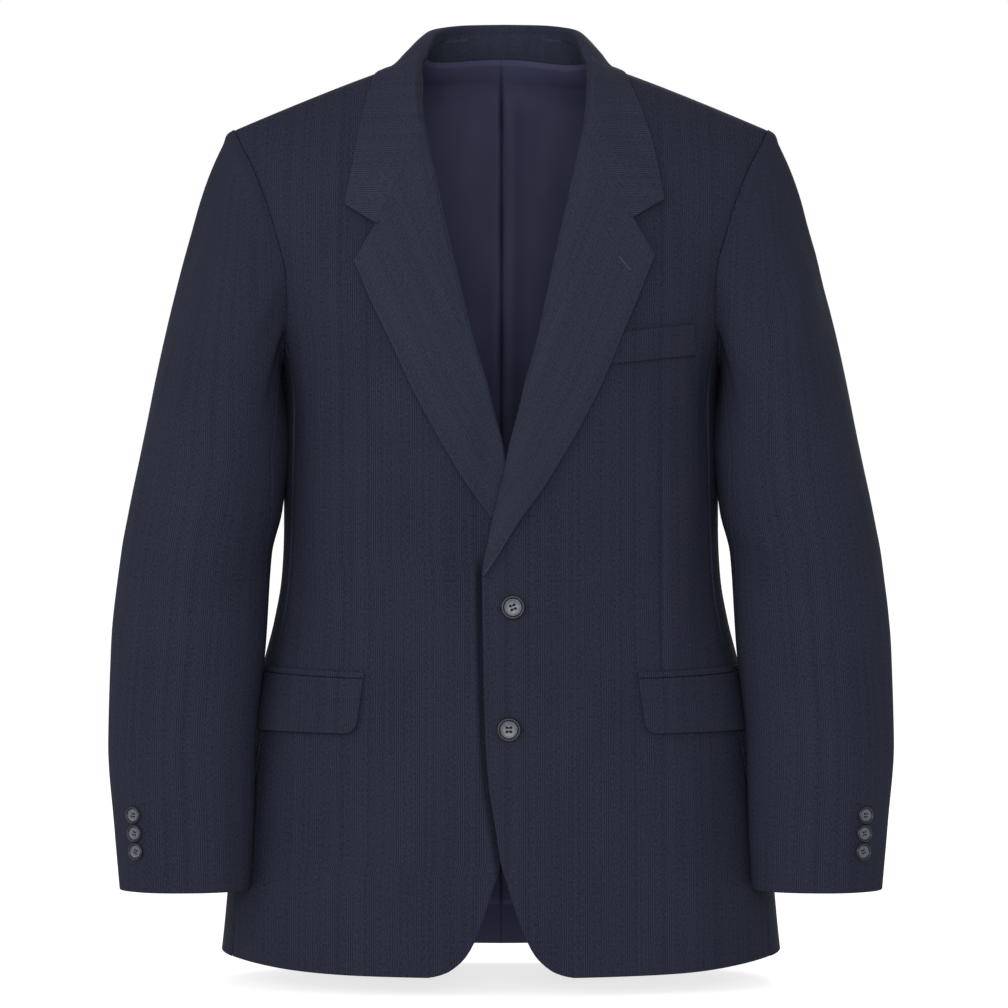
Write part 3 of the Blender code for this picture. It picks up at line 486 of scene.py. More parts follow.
def front_face(hand):
    """A front's outer face, with its folds and its dart, a narrow groove."""
    girth, side = front_grid(hand)
    flat = bare_body(girth, side)
    x, z = flat[..., 0], flat[..., 2]
    dart = np.exp(-((x - DART_X - hand * BUTTON_LEAN) / 0.0015) ** 2)
    dart = dart * smooth((DART_TOP - z) / 0.03) * smooth((z - DART_END) / 0.01 + 1)
    relief = front_layer(x, z, hand) + creased(x, z, FRONT_CREASES, hand) - 0.0010 * dart
    return body(girth, side, relief)


fronts = {}
for hand, word in HANDS:
    face = fronts[word] = front_face(hand)
    piece = wall(f"front_{word}", face, CLOTH, lined(face, face[:, :1, 0]), [navy, lining], hand)
    cut(face)

# ---------------------------------------------------------------- side panels
# The side body under each arm, one piece from the armhole's foot to the hem, sewn to front and back.
UNDERARM = -0.262


def side_grid():
    """Girth from the front seam to the back seam, and side heights that sag under the armhole by
    sin^0.8 of the share across."""
    share = shares(20, 0.10)[None]
    rows = SIDES[SIDES < ARMHOLE_FOOT + 0.001][:, None]
    rows = rows[0] + (rows - rows[0]) * (ARMHOLE_FOOT - rows[0]) / (rows[-1] - rows[0])
    dip = (UNDERARM - ARMHOLE_FOOT) * np.sin(math.pi * share) ** 0.8
    side = rows + smooth((rows + 0.36) / (ARMHOLE_FOOT + 0.36)) * dip
    return np.broadcast_to(SIDE_FRONT + (SIDE_BACK - SIDE_FRONT) * share, side.shape), side


for hand, word in HANDS:
    girth, side = side_grid()
    face = body(girth, side, 0.0008 * np.sin(side * 40 + girth * 9) * smooth((-0.3 - side) / 0.1))
    piece = wall(f"side_{word}", face, CLOTH, lined(face, 0.31), [navy, lining], hand)
    cut(face)

# ---------------------------------------------------------------- backs
# Two backs with a centre seam and no vent, from the neck and shoulder seams to the hem.
BACK_CREASES = table(
    "hand x0 z0 x1 z1 width height",
    (1, 0.030, -0.430, 0.120, -0.405, 0.014, 0.0016), (1, 0.040, -0.460, 0.130, -0.452, 0.013, -0.0015),
    (1, 0.120, -0.110, 0.175, -0.260, 0.020, -0.0022), (1, 0.150, -0.330, 0.145, -0.200, 0.016, 0.0018),
    (1, 0.085, -0.740, 0.080, -0.560, 0.026, 0.0018), (1, 0.150, -0.740, 0.140, -0.570, 0.022, -0.0016),
    (-1, 0.020, -0.418, 0.110, -0.430, 0.014, 0.0015), (-1, 0.035, -0.470, 0.120, -0.448, 0.014, -0.0014),
    (-1, 0.125, -0.120, 0.172, -0.250, 0.020, -0.0021), (-1, 0.148, -0.340, 0.150, -0.210, 0.017, 0.0017),
    (-1, 0.070, -0.740, 0.075, -0.580, 0.026, 0.0017), (-1, 0.140, -0.740, 0.135, -0.590, 0.024, -0.0017))


def back_grid(hand, inner_columns=20, closer=1.0):
    """Girths and side heights of a back: columns run from the side seam or armhole to the centre, and the
    top row dips below the shoulder seam towards the centre as the neckline does."""
    armhole = seam_x(SIDES, lambda z: flow(z, ARMHOLE["height"], ARMHOLE["back"]))
    outer = np.where(SIDES < ARMHOLE_FOOT, SIDE_BACK, 2 - girth_at(armhole, SIDES))
    neck = NECK + hand * BUTTON_LEAN
    neck_girth = 2 - girth_at(np.full(SIDES.shape, neck), SIDES)
    first, second = shares(24, 0.12)[:-3], shares(inner_columns, 0.08)[3:]
    first, second = first / first[-1], (second - second[0]) / (second[-1] - second[0])
    to_neck = outer[:, None] + (neck_girth - outer)[:, None] * first
    middle = 2 - girth_at(neck * (1 - second[None, 1:-1]) ** closer, SIDES[:, None])
    girth = np.concatenate([to_neck, middle, np.full((len(SIDES), 1), 2.0)], 1)
    x = bare_body(girth, SIDES[:, None])[..., 0]
    scoop = NECK_DIP * np.clip(1 - (x / neck) ** 2, 0, 1)
    return girth, SIDES[:, None] - scoop * smooth((SIDES + 0.15) / 0.095)[:, None]


for hand, word in HANDS:
    girth, side = back_grid(hand)
    flat = bare_body(girth, side)
    face = body(girth, side, creased(flat[..., 0], flat[..., 2], BACK_CREASES, hand))
    grain = np.stack([-run(face[:, ::-1], 1)[:, ::-1], face[..., 2]], -1)
    piece = wall(f"back_{word}", face, CLOTH, grain, [navy, lining], hand)
    cut(face)

# ---------------------------------------------------------------- back linings
# Satin inside each back, seen through the neck and under the fronts.  At the centre the wearer's
# right one folds into a loose pleat over the left, and both hang in soft vertical folds.
LINING_FOLDS = table(
    "hand x0 z0 x1 z1 width height",
    (1, 0.010, -0.010, 0.009, -0.420, 0.007, 0.0022), (1, 0.030, -0.060, 0.022, -0.330, 0.013, -0.0016),
    (1, 0.048, -0.050, 0.034, -0.200, 0.012, 0.0016), (1, 0.016, -0.050, 0.050, -0.120, 0.012, 0.0012),
    (1, 0.040, -0.560, 0.040, -0.740, 0.014, 0.0020), (1, 0.060, -0.180, 0.040, -0.300, 0.014, -0.0012),
    (-1, 0.018, -0.030, 0.022, -0.380, 0.014, -0.0012), (-1, 0.050, -0.040, 0.040, -0.260, 0.016, 0.0012),
    (-1, 0.030, -0.560, 0.035, -0.740, 0.014, -0.0018), (-1, 0.006, -0.200, 0.008, -0.400, 0.007, 0.0010))
# The rows of its neck edge: how far each lies ahead of the neckline, and how high above it.
NECK_EDGE = ((0.0028, -0.0040), (0.0028, -0.0028), (0.0028, -0.0016), (0.0027, -0.0004), (0.0026, 0.0006),
             (0.0024, 0.0014))
LINING_HEM = 14          # the body's row that the lining ends at, 33 mm above the hem
for hand, word in HANDS:
    girth, side = (grid[LINING_HEM:] for grid in back_grid(hand, 60, 1.7))
    flat = bare_body(girth, side)
    x, z = flat[..., 0], flat[..., 2]
    fold = creased(x, z, LINING_FOLDS, hand) * smooth((0.012 - z) / 0.05)
    loose = np.maximum(fold + 0.0020, 0) * smooth((0.016 - z) / 0.03)
    # both are drawn forward at the centre, the left one more, into a groove that shows as a dark line
    pleat = (0.0052 if hand > 0 else 0.0036) * np.exp(-(x / 0.026) ** 2)
    pleat = pleat * (1 - 0.9 * np.exp(-((x + 0.0004 * np.sin(z * 60)) / 0.0017) ** 2))
    hanging = 0.0045 * smooth((0.016 - z) / 0.06) * smooth((z + 0.15) / 0.10) * smooth((0.055 - x) / 0.03)
    face = body(girth, side, -CLOTH - 0.0006 - loose - hanging - pleat * smooth((0.022 - z) / 0.022))
    # at the neck its edge turns up ahead of the back's and of the stand's foot, where it is sewn; along
    # the shoulder seams it stays under the back
    rim = flat[-1]
    inward = unit(np.stack([-0.6 * rim[:, 0], 0 * rim[:, 0] - 0.045, 0 * rim[:, 0]], -1))
    stand_lean = 0.35 * (rim[:, :1] / NECK) ** 2
    at_neck = smooth((0.080 - rim[:, :1]) / 0.008)
    up, under = np.array([0, 0, 1.0]), face[-1]
    turned_up = [under + (rim + inward * (ahead + stand_lean * max(high, 0)) + up * high - under) * at_neck
                 + up * (high * 0.12 - 0.0004) * (1 - at_neck) for ahead, high in NECK_EDGE]
    lower = side[:, -1] < side[-1, -1] - 0.0060
    face = np.concatenate([face[lower], np.stack(turned_up)])
    piece = wall(f"back_lining_{word}", face, SATIN, lined(face), [lining], hand)
    cut(face)

# ---------------------------------------------------------------- sleeves
# Two-piece sleeves set into the armholes over a light pad, which lifts the head in a soft rope along
# the seam.  They bend forward at the elbow, and the back seam comes round to the cuff buttons.
SLEEVE = table(
    "height outer inner middle half_depth turn",
    (-0.7045, 0.3243, 0.2134, -0.0720, 0.0370, -80),
    (-0.6500, 0.3298, 0.2108, -0.0660, 0.0410, -66),
    (-0.5800, 0.3362, 0.2095, -0.0570, 0.0470, -50),
    (-0.5000, 0.3350, 0.2020, -0.0450, 0.0540, -33),
    (-0.4200, 0.3274, 0.1972, -0.0370, 0.0620, -16),
    (-0.3840, 0.3215, 0.1885, -0.0370, 0.0660, -9),
    (-0.3350, 0.3135, 0.1830, -0.0300, 0.0700, 0))
SLEEVE_TOP = -0.3350
# Folds: where each starts and ends, as a turn from the outer edge towards the front and a height.
SLEEVE_CREASES = table(
    "hand x0 z0 x1 z1 width height",
    (1, 0.000, -0.290, 0.000, -0.190, 0.045, -0.0034), (-1, 0.000, -0.290, 0.000, -0.190, 0.045, -0.0028),
    (1, 0.020, -0.150, 0.075, -0.210, 0.013, -0.0022), (1, 0.035, -0.175, 0.090, -0.255, 0.012, 0.0018),
    (1, 0.015, -0.200, 0.060, -0.290, 0.013, -0.0016), (1, 0.100, -0.330, 0.130, -0.230, 0.012, 0.0018),
    (1, 0.060, -0.440, 0.140, -0.410, 0.013, 0.0020), (1, 0.050, -0.470, 0.140, -0.450, 0.013, -0.0020),
    (1, 0.080, -0.520, 0.135, -0.480, 0.014, 0.0016), (1, 0.030, -0.600, 0.040, -0.480, 0.018, -0.0016),
    (1, 0.075, -0.690, 0.085, -0.560, 0.016, 0.0012), (1, 0.110, -0.690, 0.120, -0.560, 0.014, -0.0014),
    (1, -0.060, -0.450, -0.020, -0.350, 0.020, -0.0018), (1, -0.110, -0.440, -0.040, -0.430, 0.014, 0.0020),
    (1, -0.120, -0.480, -0.050, -0.460, 0.014, -0.0020), (1, -0.090, -0.300, -0.050, -0.180, 0.018, -0.0018),
    (-1, 0.025, -0.160, 0.080, -0.240, 0.014, -0.0018), (-1, 0.045, -0.180, 0.100, -0.270, 0.012, 0.0016),
    (-1, 0.090, -0.340, 0.125, -0.220, 0.014, -0.0016), (-1, 0.055, -0.430, 0.140, -0.420, 0.013, 0.0018),
    (-1, 0.060, -0.485, 0.140, -0.455, 0.014, -0.0020), (-1, 0.025, -0.580, 0.035, -0.440, 0.018, -0.0015),
    (-1, 0.070, -0.690, 0.080, -0.540, 0.017, 0.0014), (-1, 0.105, -0.690, 0.115, -0.560, 0.014, -0.0014),
    (-1, -0.055, -0.440, -0.020, -0.340, 0.020, -0.0017), (-1, -0.110, -0.450, -0.040, -0.420, 0.014, 0.0018),
    (-1, -0.085, -0.310, -0.050, -0.190, 0.018, -0.0018))


def off_the_body(points, ease):
    """Moves points out to `ease` from the side of the body, below the armhole."""
    x, y, z = np.moveaxis(points, -1, 0)
    depth = np.where(y < 0, section("front", z), section("back", z))
    square = section("square", z)
    nearest = section("half_width", z) * across_share(y / np.maximum(depth, 1e-9), square) + ease
    return np.stack([np.where((z < ARMHOLE_FOOT - 0.004) & (nearest > x), nearest, x), y, z], -1)


def sleeve_oval(turn, height):
    """A point of the left sleeve's outside: an ellipse across, where turn 0 is its outer edge and
    -90 degrees its front."""
    outer, inner, middle, half_depth = (flow(height, SLEEVE["height"], SLEEVE[name])
                                        for name in ("outer", "inner", "middle", "half_depth"))
    x = (outer + inner) / 2 + (outer - inner) / 2 * np.cos(turn)
    points = np.stack(np.broadcast_arrays(x, middle + half_depth * np.sin(turn), height), -1)
    return off_the_body(points, -0.0004 + 0.0044 * smooth((-0.41 - points[..., 2]) / 0.08))


def armhole_rim():
    """The armhole's seam line from the shoulder down the front, under the arm and up the back, with
    the body's normal along it."""
    down = np.linspace(RIDGE, ARMHOLE_FOOT, 160)
    up = down[::-1]
    share = np.linspace(0, 1, 60)[1:-1]
    under = ARMHOLE_FOOT + (UNDERARM - ARMHOLE_FOOT) * np.sin(math.pi * share) ** 0.8
    girths = [girth_at(seam_x(down, lambda z: flow(z, ARMHOLE["height"], ARMHOLE["front"])), down),
              SIDE_FRONT + (SIDE_BACK - SIDE_FRONT) * share,
              2 - girth_at(seam_x(up, lambda z: flow(z, ARMHOLE["height"], ARMHOLE["back"])), up)]
    girth, side = np.concatenate(girths), np.concatenate([down, under, up])
    return body(girth, side), unit(body(girth, side, 1.0) - body(girth, side))


def sleeve_face(hand):
    """The whole left sleeve's outer face as rings.  Above the elbow each column is a cubic curve that
    leaves the armhole outwards, or downwards under the arm, and ends in the first oval."""
    rim, normal = armhole_rim()
    middle, half = (rim.max(0) + rim.min(0)) / 2, (rim.max(0) - rim.min(0)) / 2
    turn = np.arctan2((rim[:, 1] - middle[1]) / half[1], (rim[:, 2] - middle[2]) / half[2])
    turn[0] = 0.0
    phase = np.maximum.accumulate(np.mod(-turn, 2 * math.pi))
    at = np.linspace(0, 2 * math.pi, 181)
    rim = np.stack([np.interp(at, phase, rim[:, k]) for k in range(3)], -1)
    normal = unit(np.stack([np.interp(at, phase, normal[:, k]) for k in range(3)], -1))
    turn = np.where(at > math.pi, 2 * math.pi - at, -at)
    closed = np.concatenate([rim[-2:-1], rim, rim[1:2]])
    away = unit(np.cross(normal, unit(closed[2:] - closed[:-2])))
    under = smooth((np.abs(turn) - math.radians(80)) / math.radians(90)) * math.pi
    start = rim + 0.0004 * (np.cos(under / 2)[:, None] * away + np.sin(under / 2)[:, None] * normal)
    leave = unit(np.stack([np.cos(turn / 2), 0.35 * np.sin(turn), np.full(turn.shape, -0.93)], -1))
    ring = sleeve_oval(turn, np.full(turn.shape, SLEEVE_TOP))
    drop = unit(ring - sleeve_oval(turn, np.full(turn.shape, SLEEVE_TOP - 0.01)))
    reach = np.linalg.norm(ring - start, axis=-1)[:, None]
    first, second = start + leave * reach * 0.15, ring + drop * reach * 0.34
    t = np.concatenate([[0, 0.001, 0.003], np.linspace(0.008, 0.1, 9), np.linspace(0.12, 0.97, 30)])
    t = t[:, None, None]
    head = (1 - t) ** 3 * start + 3 * t * (1 - t) ** 2 * first + 3 * t * t * (1 - t) * second + t ** 3 * ring
    ease = 0.0003 - 0.0007 * smooth(t[..., 0] * 3)
    head = np.concatenate([head[:1], off_the_body(head[1:], ease[1:])])
    heights = np.concatenate([np.linspace(SLEEVE_TOP, -0.7010, 62), [-0.7033, -0.7041, -0.7045]])[:, None]
    lower_twist = np.radians(flow(heights, SLEEVE["height"], SLEEVE["turn"]))
    outer = np.concatenate([head, sleeve_oval(turn[None] + lower_twist, np.repeat(heights, len(turn), 1))])
    closed = np.concatenate([outer[:, -2:-1], outer, outer[:, 1:2]], 1)
    out = unit(np.cross(closed[:, 2:] - closed[:, :-2], np.gradient(outer, axis=0)))
    gone = run(outer, 0)
    rope = 0.0022 * np.exp(-((gone - 0.007) / 0.006) ** 2) * smooth((np.cos(turn) + 0.1) / 0.8)
    twist = np.concatenate([np.zeros((len(head), 1)), lower_twist])
    relief = creased(-(turn[None] + twist) * 0.062, outer[..., 2], SLEEVE_CREASES, hand)
    outer = outer + out * (rope + relief * smooth(gone / 0.03))[..., None]
    # the seam allowance turns in under the armhole's edge
    tuck = [rim - normal * 0.0034 - away * 0.0016, rim - normal * 0.0032 + away * 0.0002,
            rim - normal * 0.0012 + away * 0.0003]
    outer = np.concatenate([np.stack(tuck), outer])
    return outer, arm_lines(outer, lower_twist, at, ring)


def arm_lines(outer, twist, at, oval):
    """How far round the arm each point lies, so that the cloth's lines run straight down it.  Below the
    head they are counted along each ring from its front-most point; on the head each point takes the
    line that it meets where a level line square to its surface leaves the first oval."""
    front_most = (math.pi / 2 + twist) / (at[1] - at[0])
    below = np.floor(front_most).astype(int)
    lower = run(outer, 1)[-len(twist):]
    here, there = (np.take_along_axis(lower, below + k, 1) for k in (0, 1))
    lower = lower - here - (there - here) * (front_most - below)
    top = outer[:len(outer) - len(lower)]
    closed = np.concatenate([outer[:, -2:-1], outer, outer[:, 1:2]], 1)
    level = np.gradient(closed, axis=1)[:len(top), 1:-1]
    level = unit(np.cross(level, np.gradient(outer, axis=0)[:len(top)]))[..., :2]
    level = unit(level + unit(top[..., :2] - oval.mean(0)[:2]) * 0.35)
    size = np.ptp(oval[:, :2], axis=0) / 2
    place = (top[..., :2] - (oval[:, :2].max(0) + oval[:, :2].min(0)) / 2) / size
    slope = level / size
    a, b, c = (slope ** 2).sum(-1), (slope * place).sum(-1), (place ** 2).sum(-1) - 1
    met = place + slope * ((-b + np.sqrt(np.maximum(b * b - a * c, 0))) / a)[..., None]
    full = 2 * math.pi
    phase = at + np.mod(-np.arctan2(met[..., 1], met[..., 0]) - at + math.pi, full) - math.pi
    count, total = lower[0], lower[0, -1] - lower[0, 0]
    phases = np.concatenate([at[:-1] - full, at, at[1:] + full])
    counts = np.concatenate([count[:-1] - total, count, count[1:] + total])
    return np.concatenate([np.interp(phase, phases, counts), lower])


def with_rims(values):
    """Adds two columns beside each end column, where the wall rounds off at a seam."""
    def between(k, share):
        return values[:, k:k + 1] * (1 - share) + values[:, k + 1:k + 2] * share

    last = values.shape[1] - 2
    return np.concatenate([values[:, :1], between(0, 0.06), between(0, 0.25), values[:, 1:-1],
                           between(last, 0.75), between(last, 0.94), values[:, -1:]], 1)


# Where each piece begins and ends round the arm, in degrees from the outer edge by the front.
SLEEVE_SEAMS = {"top_sleeve": (260, 505), "under_sleeve": (145, 260)}
sleeves = {}
for hand, word in HANDS:
    rings, across = sleeve_face(hand)
    sleeves[word] = rings
    total = across[:, -1:] - across[:, :1]
    twice = np.concatenate([rings[:, :-1], rings], 1)
    counted = np.concatenate([across[:, :-1], across + total], 1)
    for name, (begin, end) in SLEEVE_SEAMS.items():
        columns = slice(begin // 2, end // 2 + 1)
        lines = counted - total if name == "top_sleeve" else counted
        face = with_rims(twice[:, columns])
        grain = with_rims(np.stack([lines, twice[..., 2]], -1)[:, columns])
        piece = wall(f"{name}_{word}", face, THIN, grain, [navy, lining], hand)
        cut(face)

# ---------------------------------------------------------------- pocket flaps and jettings
# A jetted pocket with a flap each side, lying over the front and the side panel.  The flap is faced and
# turned, with its front lower corner rounded; the jetting is the narrow folded strip above it.
FLAP_START, FLAP_SLANT, FLAP_END = 0.1155, 0.0058, 1.04
FLAP_TOP, FLAP_RISE, FLAP_LOW, FLAP_CORNER = -0.5245, 0.0045, -0.5705, 0.0085


def over_pocket(girth, height, out, hand):
    """A point over front and side panel at that girth and height, moved out from the front's folds."""
    x = bare_body(girth, height)[..., 0]
    relief = creased(x, height, FRONT_CREASES, hand) * smooth((0.86 - girth) / 0.08)
    return body(girth, height, relief + out)


for hand, word in HANDS:
    along, down = shares(40, 0.12)[None], shares(18, 0.046)[:, None]
    above = (1 - down) * 0.046
    turned = FLAP_CORNER - np.sqrt(FLAP_CORNER ** 2 - np.clip(FLAP_CORNER - above, 0, FLAP_CORNER) ** 2)
    top = FLAP_TOP + FLAP_RISE * along
    height = top + (FLAP_LOW - top) * down
    start = girth_at(FLAP_START + FLAP_SLANT * down + turned, height)
    girth = start + (FLAP_END - start) * along
    belly = 0.0009 * np.sin(math.pi * down) * smooth(along / 0.1) + 0.0030 * down ** 2
    flap_face = over_pocket(girth, height, 0.0030 + belly, hand)
    grain = lined(flap_face, bare_body(girth, height)[:, :1, 0])
    flap = wall(f"flap_{word}", flap_face, THIN, grain, [navy], hand, facing=-1)

    height = FLAP_TOP + FLAP_RISE * along + 0.0004 + 0.0052 * (1 - shares(5, 0.0052, 0.0006)[:, None])
    start = girth_at(np.full(height.shape, FLAP_START - 0.0006), height)
    girth = start + (FLAP_END - start) * along
    face = over_pocket(girth, height, 0.0022, hand)
    grain = lined(face, bare_body(girth, height)[:, :1, 0])
    jetting = wall(f"flap_jetting_{word}", face, 0.0011, grain, [navy], hand, facing=-1)
    cut(flap_face)

# ---------------------------------------------------------------- breast pocket welt
# A slanting welt on the wearer's left chest, cut so that its lines meet the front's, with its inner end
# under the lapel and its other end sewn down.
WELT_INNER, WELT_OUTER, WELT_TOP, WELT_SLANT, WELT_DEEP = 0.066, 0.1642, -0.2242, 0.127, 0.0265
along, down = shares(30, 0.10)[None], shares(12, WELT_DEEP)[:, None]
x = WELT_INNER + (WELT_OUTER - WELT_INNER) * along + 0 * down
z = WELT_TOP - (WELT_OUTER - x) * WELT_SLANT - WELT_DEEP * down
face = on_front(x, z, 0.0032, 1)
piece = wall("breast_welt", face, THIN, lined(face, face[:, :1, 0]), [navy], facing=-1)
cut(face)

# ---------------------------------------------------------------- lapels
# The facing turns back at the roll line as the lapel: two layers at its edge, a soft roll along the
# neck that comes from inside the front, and the left one over the right at the break.
LAPEL = table(
    "roll edge_out edge_height bulge",
    (-0.4385, -0.0172, -0.4368, 0.0000), (-0.4200, -0.0046, -0.4170, 0.0006),
    (-0.3950, 0.0120, -0.3900, 0.0016), (-0.3680, 0.0320, -0.3620, 0.0024),
    (-0.3380, 0.0540, -0.3250, 0.0030), (-0.3020, 0.0760, -0.2835, 0.0034),
    (-0.2620, 0.0952, -0.2395, 0.0034), (-0.2180, 0.1110, -0.2040, 0.0030),
    (-0.1600, 0.1260, -0.1675, 0.0026), (-0.1050, 0.1169, -0.1519, 0.0020),
    (-0.0596, 0.1078, -0.1362, 0.0014))
LOWER = 0.0050           # the wearer's right lapel and collar point sit this much lower
LAPEL_ACROSS = table("share lift", (0, 0), (0.06, 0.6), (0.2, 1), (0.45, 1), (0.75, 0.6), (1, 0.1))
LAPEL_TIP = 8            # the row of the table at the lapel's tip; from there to the last row is its top edge
LAPEL_ROLL = 9           # the column of the lapel's grid that lies furthest round its roll


def cornered(at, values, corner):
    """Values of a table by row number: smooth up to the corner's row, and straight past it."""
    rows = np.arange(len(values))
    before = flow(at, rows[:corner + 1], values[:corner + 1])
    return np.where(at <= corner, before, np.interp(at, rows, values))


def lapel_face(hand):
    """The lapel's outer face and thickness: rows from the break to the gorge, columns from the facing
    inside the front round the roll, a half circle, and out to the free edge."""
    at = np.concatenate([[0, 0.02, 0.06], np.linspace(0.15, 7.7, 62), [7.8, 7.9, 7.96, 8, 8.04, 8.1, 8.2],
                         np.linspace(8.3, 9.8, 12), [9.9, 9.96, 9.99, 10]])[:, None]
    roll_z, bulge = flow(at, np.arange(11), LAPEL["roll"]), flow(at, np.arange(11), LAPEL["bulge"])
    edge_z = cornered(at, LAPEL["edge_height"], LAPEL_TIP)
    edge_x = hand * button_line(edge_z) + cornered(at, LAPEL["edge_out"], LAPEL_TIP)
    if hand < 0:
        edge_z = edge_z - LOWER * smooth((at - 4) / 4)
    roll_x = front_edge(roll_z, hand)
    width = np.hypot(edge_x - roll_x, edge_z - roll_z)
    rounded = smooth((roll_z - BREAK) / 0.035)
    lowest = 0.0008 - (CLOTH + 0.0018) * rounded
    outermost = 0.0014 + 0.0024
    radius, centre = (outermost - lowest) / 2, (outermost + lowest) / 2
    bend = np.radians(np.linspace(-90, 90, 13))[None]
    inside = np.array([0.012, 0.008, 0.004])[None]
    beyond = shares(30, 0.08)[1:][None]
    away = [radius + inside * rounded, radius * (1 - np.cos(bend)), radius + (width - radius) * beyond]
    away = np.concatenate([np.broadcast_to(a, (len(at), a.shape[1])) for a in away], 1)
    share = away / width
    x, z = roll_x + (edge_x - roll_x) * share, roll_z + (edge_z - roll_z) * share
    squeeze = smooth((x - hand * button_line(z)) / 0.05 + (0.6 if hand > 0 else -0.2))
    lift = squeeze * (0.0025 * smooth((away - radius) / 0.012)
                      + bulge * flow(share, LAPEL_ACROSS["share"], LAPEL_ACROSS["lift"]))
    out = np.concatenate([np.broadcast_to(lowest, (len(at), 3)), centre + radius * np.sin(bend),
                          np.broadcast_to(outermost, (len(at), beyond.shape[1]))], 1)
    turned = np.arange(out.shape[1]) >= 3 + 13
    thickness = 0.0010 + 0.0014 * smooth((away - radius) / 0.010) * turned
    # the cloth's lines run beside the outer edge: each point is counted from its nearest point there,
    # or on the line that carries the edge on past the tip
    edge = np.concatenate([edge_x, edge_z], 1)[at[:, 0] <= LAPEL_TIP]
    past = edge[-1] + unit(edge[-1] - edge[-4]) * np.linspace(0.002, 0.09, 40)[:, None]
    edge = np.concatenate([edge, past])
    gaps = np.linalg.norm(np.stack([x, z], -1)[..., None, :] - edge, axis=-1)
    along = run(edge[None], 1)[0][gaps.argmin(-1)]
    return on_front(x, z, out + lift * turned, hand), thickness, gaps.min(-1), along


# The lapels, collar and stand wear a lighter copy of the navy worsted: painted sheen, for the light that
# these pieces catch.
painted_sheen_worsted = suiting("worsted with painted sheen", (0.0082, 0.0095, 0.0170, 1), (0.0171, 0.0190, 0.0306, 1),
                 contrast=2.5)
lapels = {}
for hand, word in HANDS:
    face, thickness, across, along = lapel_face(hand)
    lapels[word] = face
    piece = wall(f"lapel_{word}", face, thickness, np.stack([across, along], -1), [painted_sheen_worsted], hand,
                 edges="hem front back")
    cut(face)

# ---------------------------------------------------------------- collar
# The collar is a stand, sewn to the neckline, and a leaf that turns over it from a seam inside the neck
# and falls over the shoulders.  Its ends meet the lapels at the gorge and leave the notches.
COLLAR = table(
    "fold_x fold_y fold_z edge_x edge_y edge_z bulge lean",
    (0.0000, 0.0660, 0.0500, 0.0000, 0.0920, 0.0040, 0.0060, 0.0028),
    (0.0305, 0.0620, 0.0490, 0.0415, 0.0840, 0.0020, 0.0060, 0.0020),
    (0.0510, 0.0460, 0.0450, 0.0720, 0.0620, 0.0000, 0.0060, 0.0008),
    (0.0618, 0.0240, 0.0390, 0.0890, 0.0340, 0.0000, 0.0060, 0.0000),
    (0.0677, 0.0020, 0.0260, 0.0975, 0.0060, -0.0010, 0.0056, 0.0004),
    (0.0717, -0.0200, 0.0040, 0.1085, -0.0180, -0.0150, 0.0052, -0.0006),
    (0.0712, -0.0400, -0.0220, 0.1192, -0.0420, -0.0420, 0.0052, 0.0017),
    (0.0687, -0.0550, -0.0440, 0.1285, -0.0620, -0.0880, 0.0050, 0.0038),
    (0.0672, -0.0610, -0.0540, 0.1341, -0.0720, -0.1200, 0.0040, 0.0038),
    (0.0662, -0.0655, -0.0592, 0.1078, -0.0850, -0.1358, 0.0030, 0.0038))
COLLAR_TIP = 8
COLLAR_LEAN = 0.0028     # the fold leans this far to the wearer's left; the free edge's lean varies
LEAF = 0.0017
INSIDE_SEAM = 0.0130     # how far below the fold the leaf is sewn to the stand, inside the neck


def over_shoulder(points, ease):
    """Moves points out wherever they lie less than `ease` outside the body near the neck.  The body
    under a point is the level section whose depth at its x is the point's y, found by halving."""
    x, y, z = np.moveaxis(points, -1, 0)

    def reach(side):
        depth = np.where(y < 0, section("front", side), section("back", side))
        return depth * across_share(x / section("half_width", side), section("square", side))

    side = halving(np.full(x.shape, -0.30), np.full(x.shape, RIDGE - 1e-6), lambda a: reach(a) > np.abs(y))
    girth = girth_at(np.abs(x), side)
    girth = np.where(y < 0, girth, 2 - girth)
    surface = body(girth, side)
    normal = body(girth, side, 1.0) - surface
    height = (z - surface[..., 2]) * normal[..., 2]
    return points + normal * np.maximum(0, ease - height)[..., None]


def spline(points, at):
    """A smooth curve through the columns of a grid of points: each span is a cubic whose slope at a
    column is half the step between its neighbours."""
    last = points.shape[1] - 1
    k = np.clip(np.floor(at).astype(int), 0, last - 1)
    t = (at - k)[None, :, None]
    slope = np.gradient(points, axis=1)
    a, b, p, q = points[:, k], points[:, k + 1], slope[:, k], slope[:, k + 1]
    return (a * (1 + 2 * t) * (1 - t) ** 2 + b * t * t * (3 - 2 * t)
            + p * t * (1 - t) ** 2 - q * t * t * (1 - t))


def collar_lines(hand, at):
    """The fold, the free edge and the bulge of half the collar at the given stations."""
    rows = np.arange(len(COLLAR["bulge"]))
    fold = np.stack([flow(at, rows, COLLAR[f"fold_{axis}"]) for axis in "xyz"], -1)
    edge = np.stack([cornered(at, COLLAR[f"edge_{axis}"], COLLAR_TIP) for axis in "xyz"], -1)
    fold[:, 0] += hand * COLLAR_LEAN
    edge[:, 0] += hand * flow(at, rows, COLLAR["lean"])
    if hand < 0:
        edge[:, 2] -= LOWER * smooth((at - 5) / 3)
    return fold, edge, flow(at, rows, COLLAR["bulge"])


def outward_of(fold):
    """The level direction away from the neck, square to the fold."""
    return unit(np.cross(np.gradient(fold, axis=0), np.array([0, 0, 1.0]))) * np.array([-1, -1, 0])


